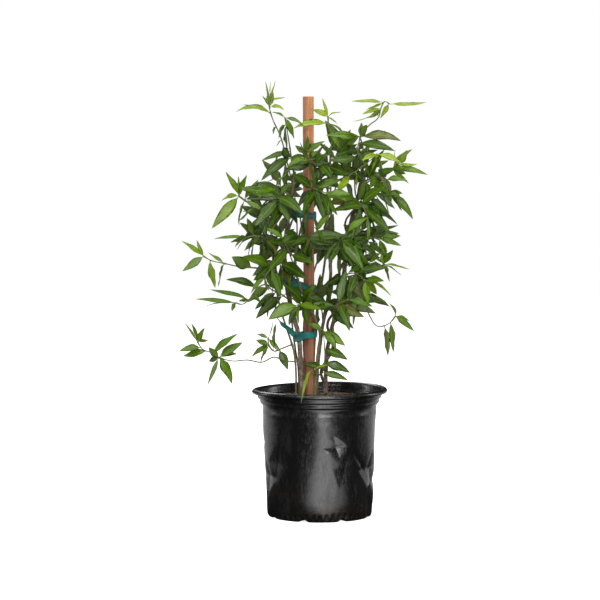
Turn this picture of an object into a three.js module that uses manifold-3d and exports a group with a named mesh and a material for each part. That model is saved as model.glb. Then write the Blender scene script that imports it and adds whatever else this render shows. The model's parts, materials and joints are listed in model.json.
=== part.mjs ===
// A young Carolina jasmine, a twining vine, tied to a square wooden stake in a thin plastic nursery pot.
// Millimetres, +Z up. The origin is the middle of the pot's base, on the surface that the pot stands on.
// The front is -Y. The vine's stems rise out of the soil, leafy shoots grow from the stems, and
// each shoot, its twig with all its leaves, is one closed body that stands clear of its neighbours.
import * as THREE from "three";
import { mergeVertices } from "three/addons/utils/BufferGeometryUtils.js";
import Module from "manifold-3d";

const wasm = await Module();
wasm.setup();

// Driving dimensions.
const GAP = 0.35;

const POT = {
  height: 157,
  lipRadius: 82.5,
  lipHeight: 6,
  collarRadius: 75.5,
  collarHeight: 12,
  shoulderRadius: 72.5,
  shoulderHeight: 19,
  topRadius: 69.5,
  footRadius: 64,
  wall: 1.6,
  floor: 3,
  sides: 36,
  drainHoles: 8,
  drainWidth: 9,
  drainHeight: 5,
  drainReach: 14,
  drainTurn: 3.5,
  heelHeight: 8,
  heelFlare: 0.6,
  ledge: 1,
  lipCorner: 1.2,
  lipInset: 4,
  lipDepth: 3.5,
};

const SOIL = {
  edgeHeight: 144.5,
  moundHeight: 149.5,
  moundRadius: 36,
  moundRise: 2,
  wallGap: 0.6,
  edgeRound: 3,
  sides: 28,
};

const STAKE = { side: 10, turn: 41, x: -13.5, y: 0, bottom: 20, top: 513 };

const TWIG_RADIUS = 0.9;
const TWIG_STEP = 9;
const TWIG_CLEAR = 0.85;
const STEM_STEP = 15;
const STEM_SIDES = 5;
const TWIG_SIDES = 4;
const YOUNG_STEM = 1.7;
const STEM_ROOT = 138;
const LEAF_THICKNESS = 0.6;
const LEAF_BOTTOM = 0.5;
const LEAF_FOLD = 0.22;
const LEAF_MARGIN = 0.6;
const NEAR_LEAF = 60;

// Each stem's route, from the soil up: [x, y, z], with its radius.
const STEMS = {
  stem_left: { radius: 3, route: [[-22, -9, STEM_ROOT], [-22, -9, 170], [-24, -7.5, 200], [-26, -5, 222],
    [-33, -2, 250], [-40, 0, 283], [-43, 0, 325], [-39, -3, 360], [-33, -5, 395], [-30, -6, 422]] },
  stem_dark_outer: { radius: 1.3, route: [[-29, 0, STEM_ROOT], [-29, 0, 180], [-32, 4, 203], [-38, 7, 222],
    [-47, 9, 250], [-53, 10, 280], [-57, 8, 310], [-59, 4, 340], [-61, 0, 365]] },
  stem_dark_inner: { radius: 1.2, route: [[-25, 8, STEM_ROOT], [-26, 9, 180], [-30, 11, 205],
    [-33, 13, 225], [-35, 16, 260], [-32, 18, 300], [-28, 18, 340], [-29, 17, 380], [-34, 13, 412]] },
  stem_dark_back: { radius: 1.2, route: [[-17, 13, STEM_ROOT], [-18, 14, 180], [-20, 17, 218],
    [-18, 19, 250], [-9, 20, 290], [3, 18, 330], [11, 13, 370], [14, 7, 410], [13, 3, 440]] },
  stem_right: { radius: 2.2, route: [[-4, 5, STEM_ROOT], [-3, 5, 175], [0, 4, 205], [3, 2, 228],
    [8, -2, 255], [13, -5, 290], [12, -8, 320], [9, -10, 350], [9, -10, 385], [11, -8, 420],
      [13, -7, 445]] },
  stem_tan: { radius: 1.6, route: [[-6, -8, STEM_ROOT], [-4, -9, 180], [-2, -10, 205], [0, -11, 224],
    [-7, -14, 246], [-16, -16.5, 264], [-24, -17, 283], [-29, -14, 306], [-27, -13, 335], [-20, -17, 365],
    [-10, -18, 395], [-6, -18, 425]] },
  stem_old: { radius: 2.6, route: [[7, 14, STEM_ROOT], [8, 14, 175], [10, 12, 205], [16, 9, 235],
    [23, 7, 262], [29, 4, 290], [32, 2, 320], [34, 2, 345], [41, 2, 372], [47, 1, 395], [52, 0, 420],
    [55, 0, 440]] },
  stem_back: { radius: 1.6, route: [[-7, 20, STEM_ROOT], [-7, 22, 190], [-4, 27, 240], [4, 31, 290],
    [10, 30, 340], [17, 24, 385], [23, 17, 425]] },
};

// The younger stem that twines about the old one: how far out it runs, and the rise of one turn.
const TWINE = {
  around: "stem_old",
  radius: 1.8,
  reach: 6.3,
  pitch: 62,
  from: 0.07,
  to: 0.86,
  start: 325,
  steps: 26,
};

// Tape bands tied round the stake and its neighbours: middle, half width and half depth, tape width, tilt
// from left to right in degrees, and the route of each loose tail.
const TIES = {
  tie_low: { middle: [-17, -2, 222], half: [13.5, 12.5], width: 10, tilt: -12,
    tails: [[[-30, -8, 222], [-38, -17, 231], [-46, -22, 238], [-52, -22, 245]]] },
  tie_middle: { middle: [-25.5, -1, 284], half: [20.8, 11.5], width: 8, tilt: 14,
    tails: [[[-30, -13, 289], [-38, -19, 296], [-45, -25, 288], [-48, -25, 277]],
      [[-34, -12.4, 287], [-27, -24, 300], [-34, -27, 290], [-40, -28, 279]]] },
  tie_upper: { middle: [-24.5, -1.5, 370], half: [19.6, 11.3], width: 9, tilt: 6,
    tails: [[[-33, -11.5, 370], [-34, -19, 374], [-37, -22, 364]]] },
};
const TAPE_THICKNESS = 0.8;
const TAPE_ROOM = 2.2;
const TAIL_STEPS = 4;
const TAIL_ROOM = 4;
const RING_SIDES = 16;
const RING_BALLS = 24;

// Leafy shoots. Each grows from a stem at a height, and its twig runs along a route to its own tip.
// A leaf is [place along the twig 0-1, tip x, tip y, tip z, width, facing in degrees, arch]: facing 0 lies
// flat with its face up and 90 stands on edge, and arch is the rise of its middle over its length.
const SHOOTS = {
  shoot_crest: { stem: "stem_dark_inner", height: 405,
    route: [[-41, 8, 438], [-45, 2, 456], [-50, -2, 470], [-57, -4, 485], [-61, -4, 500], [-60, -4, 517]],
    leaves: [[0.76, -102, -14, 494, 9, 55, 0.32], [0.78, -95, 6, 503, 7, 40, 0.2],
      [0.88, -70, -10, 514, 3.5, 40, 0.05], [0.9, -42, 0, 512, 4, 30, -0.05],
      [0.86, -43, -9, 496, 6, 50, 0.25],
      [0.86, -64, -7, 521, 6, 80, 0], [0.86, -57, -2, 521, 6, 80, 0], [0.94, -66, -5, 532, 3, 70, -0.05],
      [0.94, -54, -7, 532, 3, 70, -0.05], [0.94, -60, 2, 531, 3, 70, 0], [0.64, -57, -9, 467, 7, 70, 0.1],
      [0.45, -53, -4, 453, 3, 40, 0]] },
  shoot_crest_low: { stem: "stem_left", height: 415,
    route: [[-34, -10, 436], [-38, -12, 462], [-42, -12, 487]],
    leaves: [[1, -58, -18, 494, 5, 45, 0.1], [1, -20, -20, 477, 6, 50, 0.2],
      [0.98, -31, -24, 461, 9, 75, 0.15],
      [0.92, -40, -24, 449, 14, 85, 0.08], [0.9, -50, -26, 462, 9, 75, 0.2],
      [0.35, -71, -14, 435, 7, 70, 0.05],
      [0.1, -45, -28, 451, 13, 80, 0], [0.08, -71, -24, 411, 13, 65, 0.15]] },
  shoot_stake_top: { stem: "stem_tan", height: 415, pairs: 3, leaf: 31, turn: 20,
    route: [[-12, -22, 428], [-17, -20, 444]],
    leaves: [[1, -15, -16, 466, 12, 85, 0], [0.9, 6, -18, 459, 8, 60, 0.1], [0.7, 0, -24, 448, 6, 60, 0.1],
      [0.8, -26, -26, 451, 6, 70, 0.1], [0.55, -34, -40, 431, 10, 60, 0.15],
      [0.3, 14, -40, 431, 10, 60, 0.2],
      [0.6, -8, -52, 436, 9, 40, 0.2]] },
  shoot_bud: { stem: "stem_dark_back", height: 432,
    route: [[14, 0, 452], [15, -4, 466], [11, -6, 476], [10, -6, 488]],
    leaves: [[1, -9, -12, 497, 8, 70, 0.1], [0.86, -32, -14, 474, 9, 65, 0.18],
      [1, 26, -2, 494, 3.5, 25, 0.2],
      [0.92, 21, -12, 480, 3.5, 30, 0], [0.8, 33, 2, 463, 5, 45, 0.2], [1, 3, -4, 511, 4, 70, 0.05],
      [0.6, 24, -10, 449, 9, 75, 0.1]] },
  shoot_top_right: { stem: "stem_old", height: 434,
    route: [[52, -4, 455], [49, -6, 466], [60, -8, 478], [71, -8, 487], [74, -6, 498], [79, -4, 507],
      [84, -6, 504]],
    leaves: [[0.86, 38, -10, 507, 6.5, 45, 0.03], [1, 130, -10, 506, 6.5, 45, -0.08],
      [1, 73, -14, 486, 7, 80, 0.05],
      [0.8, 51, -16, 491, 5.5, 60, 0.05], [0.9, 56, 0, 497, 4.5, 60, -0.05],
      [0.74, 58, 4, 487, 6, 60, -0.12],
      [0.7, 41, 6, 483, 3, 30, 0]] },
  shoot_dark_top: { stem: "stem_old", height: 418, pairs: 3, leaf: 31, turn: 60,
    route: [[49, -10, 432], [46, -14, 450], [49, -15, 464]],
    leaves: [[1, 98, -26, 459, 13, 60, 0.14], [1, 30, -20, 471, 5, 40, -0.05],
      [0.92, 7, -24, 466, 12, 55, 0.06],
      [0.75, 90, -42, 447, 12, 65, 0.12], [0.95, 80, -6, 472, 4, 35, -0.1],
      [0.5, 18, -44, 440, 13, 65, 0.1]] },
  shoot_right_tip: { stem: "stem_old", height: 402,
    route: [[64, 6, 412], [81, 4, 420], [95, -2, 430]],
    leaves: [[1, 119, -6, 431, 5, 45, -0.05], [1, 106, -10, 448, 9, 75, 0], [1, 92, -4, 449, 4, 50, -0.3],
      [0.9, 131, -12, 418, 8, 65, 0.1], [0.75, 104, -18, 419, 13, 75, 0.08],
      [0.8, 109, 2, 407, 7, 60, -0.05],
      [0.86, 113, 6, 449, 8, 60, 0.1], [0.55, 72, 18, 440, 10, 60, 0.1]] },
  shoot_palm: { stem: "stem_right", height: 408,
    route: [[24, -26, 413], [39, -36, 420], [54, -42, 431], [69, -46, 443]],
    leaves: [[1, 50, -58, 436, 8, 60, 0.1], [1, 62, -62, 426, 6, 75, 0.05], [1, 74, -64, 427, 6, 75, 0.05],
      [1, 98, -56, 432, 9, 60, 0.15], [1, 66, -66, 440, 5, 60, 0], [0.6, 44, -62, 402, 10, 75, 0.1],
      [0.4, 20, -58, 396, 10, 75, 0.1]] },
  shoot_right_shoulder: { stem: "stem_old", height: 368, pairs: 3, leaf: 34, turn: 30,
    route: [[58, -6, 389], [72, -8, 398], [83, -8, 395]],
    leaves: [[1, 99, -10, 388, 10, 65, 0.2], [0.95, 113, -18, 364, 11, 70, 0.15],
      [0.8, 84, -24, 371, 6, 60, 0],
      [0.35, 95, -4, 357, 8, 60, 0.1], [0.6, 68, -34, 392, 16, 80, 0.05], [0.7, 66, -28, 412, 9, 75, 0]] },
  shoot_right_high: { stem: "stem_old", height: 343, pairs: 3, leaf: 34, turn: 10,
    route: [[50, -10, 348], [62, -12, 344], [72, -12, 340]],
    leaves: [[1, 99, -14, 332, 8, 60, 0.08], [1, 82, -22, 325, 6, 50, 0], [0.8, 64, -32, 366, 12, 75, 0],
      [0.5, 52, -36, 328, 12, 70, 0.05], [0.4, 44, -34, 372, 11, 80, 0]] },
  shoot_right_middle: { stem: "stem_old", height: 292,
    route: [[45, -2, 296], [60, -6, 298], [72, -8, 303], [78, -8, 309]],
    leaves: [[1, 89, -14, 327, 10, 75, 0], [1, 75, -16, 326, 7, 75, 0], [0.97, 85, -18, 288, 10, 80, 0],
      [1, 110, -6, 303, 4.5, 35, 0.08], [0.97, 100, 2, 295, 4.5, 35, 0.1], [0.9, 66, -20, 316, 8, 70, 0],
      [0.95, 57, 2, 324, 4, 40, 0]] },
  shoot_right_inner: { stem: "stem_old", height: 306, pairs: 2, leaf: 32, turn: 50,
    route: [[41, -12, 312], [52, -18, 308], [60, -20, 311]],
    leaves: [[1, 43, -28, 321, 11, 75, 0.05], [0.35, 52, -30, 293, 9, 75, 0],
      [0.9, 34, -40, 300, 10, 65, 0.1]] },
  shoot_right_arch: { stem: "stem_old", height: 272,
    route: [[36, -10, 280], [48, -16, 286], [55, -18, 291]],
    leaves: [[1, 87, -24, 270, 5, 40, 0.2], [0.92, 69, -30, 274, 14, 85, 0.05],
      [0.6, 40, -32, 236, 16, 80, 0.1],
      [0.4, 24, -34, 262, 10, 75, 0.05]] },
  shoot_right_low: { stem: "stem_old", height: 249,
    route: [[38, -6, 262], [54, -10, 262], [60, -12, 248], [70, -14, 234], [84, -14, 237], [92, -14, 246]],
    leaves: [[0.8, 83, -18, 197, 12, 80, 0], [0.94, 90, -12, 202, 11, 80, -0.02],
      [0.97, 115, -20, 228, 8.5, 65, 0.08],
      [1, 109, -10, 240, 5.5, 50, 0.15], [1, 84, -12, 262, 4, 45, 0.3]] },
  shoot_upper_left: { stem: "stem_dark_outer", height: 360,
    route: [[-72, -4, 372], [-86, -6, 383], [-98, -8, 392]],
    leaves: [[1, -114, -16, 422, 9, 75, 0], [1, -99, -10, 417, 4.5, 70, 0],
      [0.97, -88, -18, 418, 10, 80, 0],
      [0.85, -74, -14, 413, 8, 70, 0.05], [1, -120, 0, 386, 7, 60, 0.25],
      [0.95, -131, -20, 353, 14, 75, 0.05],
      [0.8, -98, -18, 356, 9, 70, 0.1], [0.9, -65, -18, 372, 8, 65, 0.1],
      [0.78, -59, -22, 393, 7, 55, 0.15],
      [0.5, -100, 2, 361, 5, 40, 0]] },
  shoot_left_shoulder: { stem: "stem_dark_outer", height: 335, pairs: 3, leaf: 34, turn: 75,
    route: [[-68, -6, 342], [-80, -10, 344], [-88, -10, 342]],
    leaves: [[1, -129, -14, 340, 5.5, 45, 0.1], [0.95, -101, 0, 326, 4, 40, 0.1],
      [0.8, -88, -26, 366, 10, 70, 0],
      [0.5, -62, -32, 374, 12, 75, 0], [0.7, -82, -28, 316, 13, 70, 0],
      [0.3, -52, -32, 320, 12, 65, 0.1]] },
  shoot_left_middle: { stem: "stem_dark_outer", height: 300,
    route: [[-75, 0, 304], [-97, -6, 306], [-115, -8, 310], [-133, -8, 314], [-141, -8, 319]],
    leaves: [[1, -168, -14, 338, 7, 65, 0.05], [1, -150, -2, 339, 5, 60, 0],
      [0.97, -167, -12, 301, 10, 70, 0],
      [0.88, -127, -18, 281, 12, 80, 0], [0.7, -123, -22, 283, 12, 80, 0.05],
      [0.7, -136, 2, 323, 5, 45, 0.05],
      [0.25, -107, -18, 319, 16, 70, 0]] },
  shoot_left_hanging: { stem: "stem_dark_outer", height: 278,
    route: [[-67, 0, 284], [-77, -4, 279], [-86, -6, 266], [-95, -6, 260], [-102, -6, 262]],
    leaves: [[1, -152, -12, 267, 6.5, 55, 0.03], [0.95, -140, 4, 257, 3, 35, 0.08],
      [0.98, -107, -10, 252, 8, 75, 0],
      [0.75, -134, -2, 278, 6.5, 50, 0.1], [0.7, -99, -14, 265, 6, 70, 0], [0.6, -72, -16, 263, 7, 70, 0.1],
      [0.47, -114, -16, 291, 10, 70, 0.12]] },
  shoot_left_low: { stem: "stem_left", height: 190,
    route: [[-42, -16, 192], [-56, -22, 197], [-70, -24, 191], [-88, -28, 194], [-105, -30, 193],
      [-121, -32, 197], [-133, -34, 204], [-142, -36, 208], [-148, -36, 217]],
    leaves: [[0.73, -136, -38, 164, 6, 65, 0.05], [0.74, -106, -42, 166, 13, 80, 0.15],
      [0.8, -99, -42, 227, 10, 70, 0.12], [0.75, -93, -34, 216, 11, 70, 0.1],
      [0.74, -134, -46, 211, 9, 65, 0],
      [0.74, -135, -22, 192, 8, 75, 0], [0.72, -100, -18, 200, 8, 60, 0.2],
      [0.93, -170, -42, 206, 9, 60, 0.1],
      [0.88, -166, -30, 199, 10, 60, 0], [1, -155, -42, 240, 7.5, 75, 0], [1, -139, -38, 234, 8, 75, 0],
      [1, -164, -32, 240, 3, 60, 0], [0.97, -135, -30, 218, 5, 60, 0]] },
  shoot_left_base: { stem: "stem_dark_outer", height: 210,
    route: [[-46, -4, 206], [-56, -8, 203], [-62, -10, 211], [-63, -10, 219]],
    leaves: [[0.8, -78, -14, 217, 8, 75, 0], [0.7, -83, -4, 196, 7, 70, 0.05],
      [0.75, -72, -18, 190, 8, 75, 0.05],
      [1, -77, -8, 224, 5, 65, 0.1], [0.95, -46, -20, 202, 6.5, 65, 0], [0.45, -39, -24, 180, 11, 75, 0.05],
      [1, -58, -6, 239, 3.5, 40, -0.2], [0.6, -53, -22, 238, 12, 80, 0]] },
  shoot_right_base: { stem: "stem_right", height: 170,
    route: [[4, -6, 178], [6, -12, 192], [6, -16, 208], [4, -20, 229]],
    leaves: [[1, 31, -26, 211, 12, 70, 0.08], [0.97, 20, -36, 207, 10, 60, 0.1],
      [0.65, 34, -28, 194, 12, 70, 0.1],
      [0.35, 37, -24, 178, 12, 70, 0.12], [0.08, 35, -16, 168, 9, 65, 0.05],
      [1, -14, -40, 238, 10, 60, 0.1],
      [0.3, -20, -30, 190, 9, 75, 0.05]] },
  shoot_rim: { stem: "stem_tan", height: 172,
    route: [[-7, -28, 182], [-9, -50, 184]],
    leaves: [[1, -23, -92, 147, 6.5, 70, 0.35], [0.5, 12, -52, 190, 5, 50, 0.1]] },
  shoot_front_low: { stem: "stem_tan", height: 262, pairs: 2, leaf: 34, turn: 47,
    route: [[-22, -32, 262], [-26, -46, 262]],
    leaves: [[1, -62, -52, 245, 17, 70, 0.12], [1, 2, -66, 258, 10, 60, 0.1],
      [0.6, -14, -54, 282, 11, 70, 0.05],
      [0.6, -36, -50, 276, 11, 70, 0.05]] },
};

// Shoots in the body of the crown: their leaves come in pairs, each pair a quarter turn on from the last.
const GROWN = {
  shoot_front_low_right: { stem: "stem_right", height: 248, pairs: 4, leaf: 38, turn: 20,
    route: [[12, -24, 256], [20, -44, 262], [34, -56, 270]],
    leaves: [[0.6, -15, -54, 262, 10, 75, 0.05], [0.4, 5, -44, 284, 8, 80, 0.03]] },
  shoot_front_left: { stem: "stem_left", height: 308, pairs: 5, leaf: 41, turn: 70,
    route: [[-50, -24, 312], [-60, -46, 306], [-66, -56, 296]],
    leaves: [[0.5, -80, -52, 292, 15, 80, 0.05], [0.3, -44, -44, 280, 12, 78, 0.05]] },
  shoot_front_middle: { stem: "stem_tan", height: 330, pairs: 5, leaf: 40, turn: 15,
    route: [[-22, -40, 340], [-12, -62, 346], [-4, -72, 352]],
    leaves: [[0.7, -29, -76, 337, 9, 80, 0.03], [0.7, -18, -78, 327, 9, 78, 0.06],
      [0.3, -44, -50, 352, 12, 78, 0.1]] },
  shoot_front_right: { stem: "stem_right", height: 325, pairs: 5, leaf: 41, turn: 50,
    route: [[18, -32, 334], [26, -58, 342], [32, -70, 350]],
    leaves: [[0.6, 10, -72, 312, 9, 80, 0.05], [0.5, 40, -56, 308, 12, 78, 0.1],
      [0.8, 52, -70, 330, 12, 80, 0.08]] },
  shoot_front_left_high: { stem: "stem_left", height: 382, pairs: 5, leaf: 41, turn: 30,
    route: [[-44, -26, 388], [-52, -50, 392], [-54, -64, 402]],
    leaves: [[0.4, -62, -46, 348, 11, 80, 0.05], [0.5, -36, -56, 362, 12, 80, 0.08]] },
  shoot_front_high: { stem: "stem_tan", height: 398, pairs: 5, leaf: 40, turn: 60,
    route: [[-8, -40, 402], [0, -64, 400], [10, -76, 396]],
    leaves: [[0.5, -17, -62, 372, 9, 82, 0.04], [0.7, 12, -82, 372, 10, 80, 0.05],
      [0.8, 32, -80, 388, 9, 75, 0.05]] },
  shoot_front_right_high: { stem: "stem_old", height: 388, pairs: 5, leaf: 41, turn: 10,
    route: [[46, -28, 386], [52, -54, 380], [56, -66, 370]],
    leaves: [[0.5, 14, -62, 376, 10, 80, 0.03], [0.4, 72, -50, 366, 14, 80, 0.08]] },
  shoot_left_high: { stem: "stem_dark_outer", height: 352, pairs: 4, leaf: 40, turn: 45,
    route: [[-66, 22, 362], [-72, 42, 374]] },
  shoot_front_left_middle: { stem: "stem_tan", height: 302, pairs: 4, leaf: 40, turn: 35,
    route: [[-34, -34, 316], [-38, -58, 330], [-44, -70, 342]] },
  shoot_front_right_low: { stem: "stem_right", height: 285, pairs: 4, leaf: 40, turn: 75,
    route: [[26, -26, 296], [44, -46, 300], [54, -56, 292]] },
  shoot_crown_front: { stem: "stem_right", height: 428, pairs: 5, leaf: 38, turn: 25,
    route: [[6, -26, 430], [-6, -42, 432], [-18, -50, 438]] },
  shoot_crown_right: { stem: "stem_old", height: 409, pairs: 5, leaf: 38, turn: 40,
    route: [[58, -24, 412], [68, -36, 418], [78, -44, 412]] },
  shoot_back_low: { stem: "stem_back", height: 248, pairs: 4, leaf: 39, turn: 75,
    route: [[0, 48, 256], [4, 72, 262]] },
  shoot_back_left_low: { stem: "stem_dark_inner", height: 262, pairs: 5, leaf: 39, turn: 25,
    route: [[-48, 38, 270], [-62, 58, 276], [-68, 70, 286]] },
  shoot_back_left: { stem: "stem_dark_inner", height: 325, pairs: 5, leaf: 41, turn: 55,
    route: [[-44, 44, 332], [-56, 68, 336], [-60, 78, 346]] },
  shoot_back_middle: { stem: "stem_back", height: 325, pairs: 5, leaf: 40, turn: 5,
    route: [[10, 56, 332], [4, 78, 336], [-4, 86, 344]] },
  shoot_back_right: { stem: "stem_old", height: 325, pairs: 5, leaf: 41, turn: 35,
    route: [[50, 26, 334], [62, 50, 338], [66, 62, 346]] },
  shoot_back_right_low: { stem: "stem_old", height: 250, pairs: 4, leaf: 39, turn: 65,
    route: [[32, 34, 258], [46, 54, 264], [50, 66, 274]] },
  shoot_back_left_high: { stem: "stem_dark_inner", height: 385, pairs: 5, leaf: 40, turn: 15,
    route: [[-42, 38, 396], [-50, 60, 402], [-54, 70, 412]] },
  shoot_back_high: { stem: "stem_dark_back", height: 400, pairs: 5, leaf: 40, turn: 56,
    route: [[4, 36, 408], [-2, 62, 414], [-6, 74, 420]] },
  shoot_back_right_high: { stem: "stem_back", height: 410, pairs: 5, leaf: 40, turn: 80,
    route: [[38, 36, 416], [54, 54, 420], [60, 62, 426]] },
  shoot_back_top: { stem: "stem_dark_back", height: 424, pairs: 4, leaf: 37, turn: 40,
    route: [[20, 22, 438], [24, 38, 448]] },
};

// How far a leaf's tip may be pushed, in Y and Z, so that it clears another shoot's leaves.
const PUSHES = [[0, 0], [8, 0], [-8, 0], [16, 0], [-16, 0], [24, 0], [-24, 0]];
const GROWN_PUSHES = [
  ...PUSHES, [0, 10], [0, -10], [10, 12], [-10, 12], [10, -12], [-10, -12], [0, 20], [0, -20],
];

const root = new THREE.Group();
const vec = (p) => new THREE.Vector3(...p);
const radians = THREE.MathUtils.degToRad;
const UP = new THREE.Vector3(0, 0, 1);
const FRONT = new THREE.Vector3(0, -1, 0);

const finish = (color, roughness) => new THREE.MeshStandardMaterial({ color, roughness, metalness: 0 });
const potPlastic = finish(0x17181a, 0.38);
const pottingMix = finish(0x4a3626, 0.95);
const redwood = finish(0xa8623d, 0.8);
const tieTape = finish(0x0b6a60, 0.55);
const greenBark = finish(0x5c5a32, 0.8);
const brownBark = finish(0x4b3a2b, 0.85);
const leafGreen = finish(0x3c6a14, 0.45);

function addMesh(name, geometry, material) {
  const mesh = new THREE.Mesh(geometry, material);
  mesh.name = name;
  root.add(mesh);
}

function toSolid(geometry) {
  geometry.deleteAttribute("normal");
  geometry.deleteAttribute("uv");
  const merged = mergeVertices(geometry, 1e-4);
  return new wasm.Manifold(new wasm.Mesh({
    numProp: 3,
    vertProperties: new Float32Array(merged.attributes.position.array),
    triVerts: new Uint32Array(merged.index.array),
  }));
}

function toGeometry(solid) {
  const mesh = solid.getMesh();
  const geometry = new THREE.BufferGeometry();
  geometry.setAttribute("position", new THREE.BufferAttribute(mesh.vertProperties, 3));
  geometry.setIndex(new THREE.BufferAttribute(mesh.triVerts, 1));
  return geometry;
}

const joinAll = (solids) => solids.reduce((whole, piece) => whole.add(piece));

// A tube of a many-sided section along a curve.
function tube(curve, radius, sides, steps) {
  const section = new THREE.Shape();
  for (let i = 0; i < sides; i += 1) {
    const angle = (2 * Math.PI * i) / sides;
    section[i ? "lineTo" : "moveTo"](radius * Math.cos(angle), radius * Math.sin(angle));
  }
  return new THREE.ExtrudeGeometry(section, { steps, extrudePath: curve, bevelEnabled: false });
}

// The point on a rising curve at a height, found by halving.
const HALVINGS = 40;
function pointAtHeight(curve, height) {
  let low = 0;
  let high = 1;
  for (let i = 0; i < HALVINGS; i += 1) {
    const middle = (low + high) / 2;
    if (curve.getPointAt(middle).z < height) low = middle;
    else high = middle;
  }
  return curve.getPointAt(low);
}

// Everything a leaf has to keep clear of, as balls: [x, y, z, radius, owner].
const STEM_MARGIN = 0.3;
const STEM_SPACING = 4;
const TWIG_MARGIN = 0.4;
const TWIG_SPACING = 3;
const STAKE_ROOM = 7.6;
const STAKE_SPACING = 5;
const SOIL_TOP = 150;
const balls = [];
function addBalls(owner, curve, radius, spacing) {
  const count = Math.ceil(curve.getLength() / spacing);
  for (let i = 0; i <= count; i += 1) {
    const p = curve.getPointAt(i / count);
    balls.push([p.x, p.y, p.z, radius, owner]);
  }
}

// The pot: one thin wall with a rolled lip, a collar and a shoulder, and drain holes round the foot.
function potProfile() {
  const { height, wall, floor } = POT;
  const lipBottom = height - POT.lipHeight;
  const collarBottom = height - POT.collarHeight;
  const shoulderBottom = height - POT.shoulderHeight;
  const { heelHeight, heelFlare, ledge, lipCorner } = POT;
  const { footRadius, topRadius, shoulderRadius, collarRadius, lipRadius } = POT;
  const outer = [
    [footRadius, 0], [footRadius + heelFlare, heelHeight], [topRadius, shoulderBottom],
    [shoulderRadius, shoulderBottom + ledge], [shoulderRadius, collarBottom],
    [collarRadius, collarBottom + ledge], [collarRadius, lipBottom + ledge / 2],
    [lipRadius - ledge, lipBottom], [lipRadius, lipBottom + lipCorner],
    [lipRadius, height - lipCorner], [lipRadius - lipCorner, height],
  ];
  const inner = [
    [lipRadius - POT.lipInset, height], [collarRadius - wall + ledge / 2, height - POT.lipDepth],
    [collarRadius - wall, collarBottom + ledge + wall], [shoulderRadius - wall, collarBottom + ledge],
    [shoulderRadius - wall, shoulderBottom + ledge + wall], [topRadius - wall, shoulderBottom + ledge],
    [footRadius + heelFlare - wall, heelHeight], [footRadius - wall, floor], [0, floor],
  ];
  return [[0, 0], ...outer, ...inner].map(([r, z]) => new THREE.Vector2(r, z));
}

// LatheGeometry turns about Y, so its result is stood up onto Z.
const lathe = (profile, sides) => new THREE.LatheGeometry(profile, sides).rotateX(Math.PI / 2);

function makePot() {
  let pot = toSolid(lathe(potProfile(), POT.sides));
  for (let i = 0; i < POT.drainHoles; i += 1) {
    const slot = new THREE.BoxGeometry(POT.drainReach, POT.drainWidth, 2 * POT.drainHeight);
    slot.translate(POT.footRadius, 0, 0);
    slot.rotateZ(radians(POT.drainTurn) + (2 * Math.PI * (i + 0.5)) / POT.drainHoles);
    pot = pot.subtract(toSolid(slot));
  }
  addMesh("pot", toGeometry(pot), potPlastic);
}

// The soil fills the pot inside its wall and rises to a low mound; stems and stake stand in holes in it.
function makeSoil(holes) {
  const clear = POT.wall + SOIL.wallGap;
  const shoulderBottom = POT.height - POT.shoulderHeight;
  const profile = [
    [0, POT.floor + GAP], [POT.footRadius - clear - POT.heelFlare, POT.floor + GAP],
    [POT.topRadius - clear, shoulderBottom - POT.wall], [POT.topRadius - clear, SOIL.edgeHeight - 1],
    [POT.topRadius - clear - SOIL.edgeRound, SOIL.edgeHeight],
    [SOIL.moundRadius, SOIL.edgeHeight + SOIL.moundRise],
    [SOIL.moundRadius / 2, SOIL.moundHeight - SOIL.moundRise / 2], [0, SOIL.moundHeight],
  ].map(([r, z]) => new THREE.Vector2(r, z));
  let soil = toSolid(lathe(profile, SOIL.sides));
  for (const hole of holes) soil = soil.subtract(hole);
  addMesh("soil", toGeometry(soil), pottingMix);
}

// The hole that a stem stands in: upright, and wider than the stem all round.
const HOLE_SIDES = 6;
function stemHole(stem) {
  const foot = stem.curve.getPointAt(0);
  const depth = SOIL.moundHeight - foot.z + 2 * GAP;
  const radius = stem.radius + 3 * GAP;
  const hole = new THREE.CylinderGeometry(radius, radius, 2 * depth, HOLE_SIDES);
  return toSolid(hole.rotateX(Math.PI / 2).translate(foot.x, foot.y, foot.z + depth - GAP));
}

function stakeBox(extra) {
  const { side, bottom, top } = STAKE;
  const box = new THREE.BoxGeometry(side + extra, side + extra, top - bottom + extra);
  return box.rotateZ(radians(STAKE.turn)).translate(STAKE.x, STAKE.y, (top + bottom) / 2);
}

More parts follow.
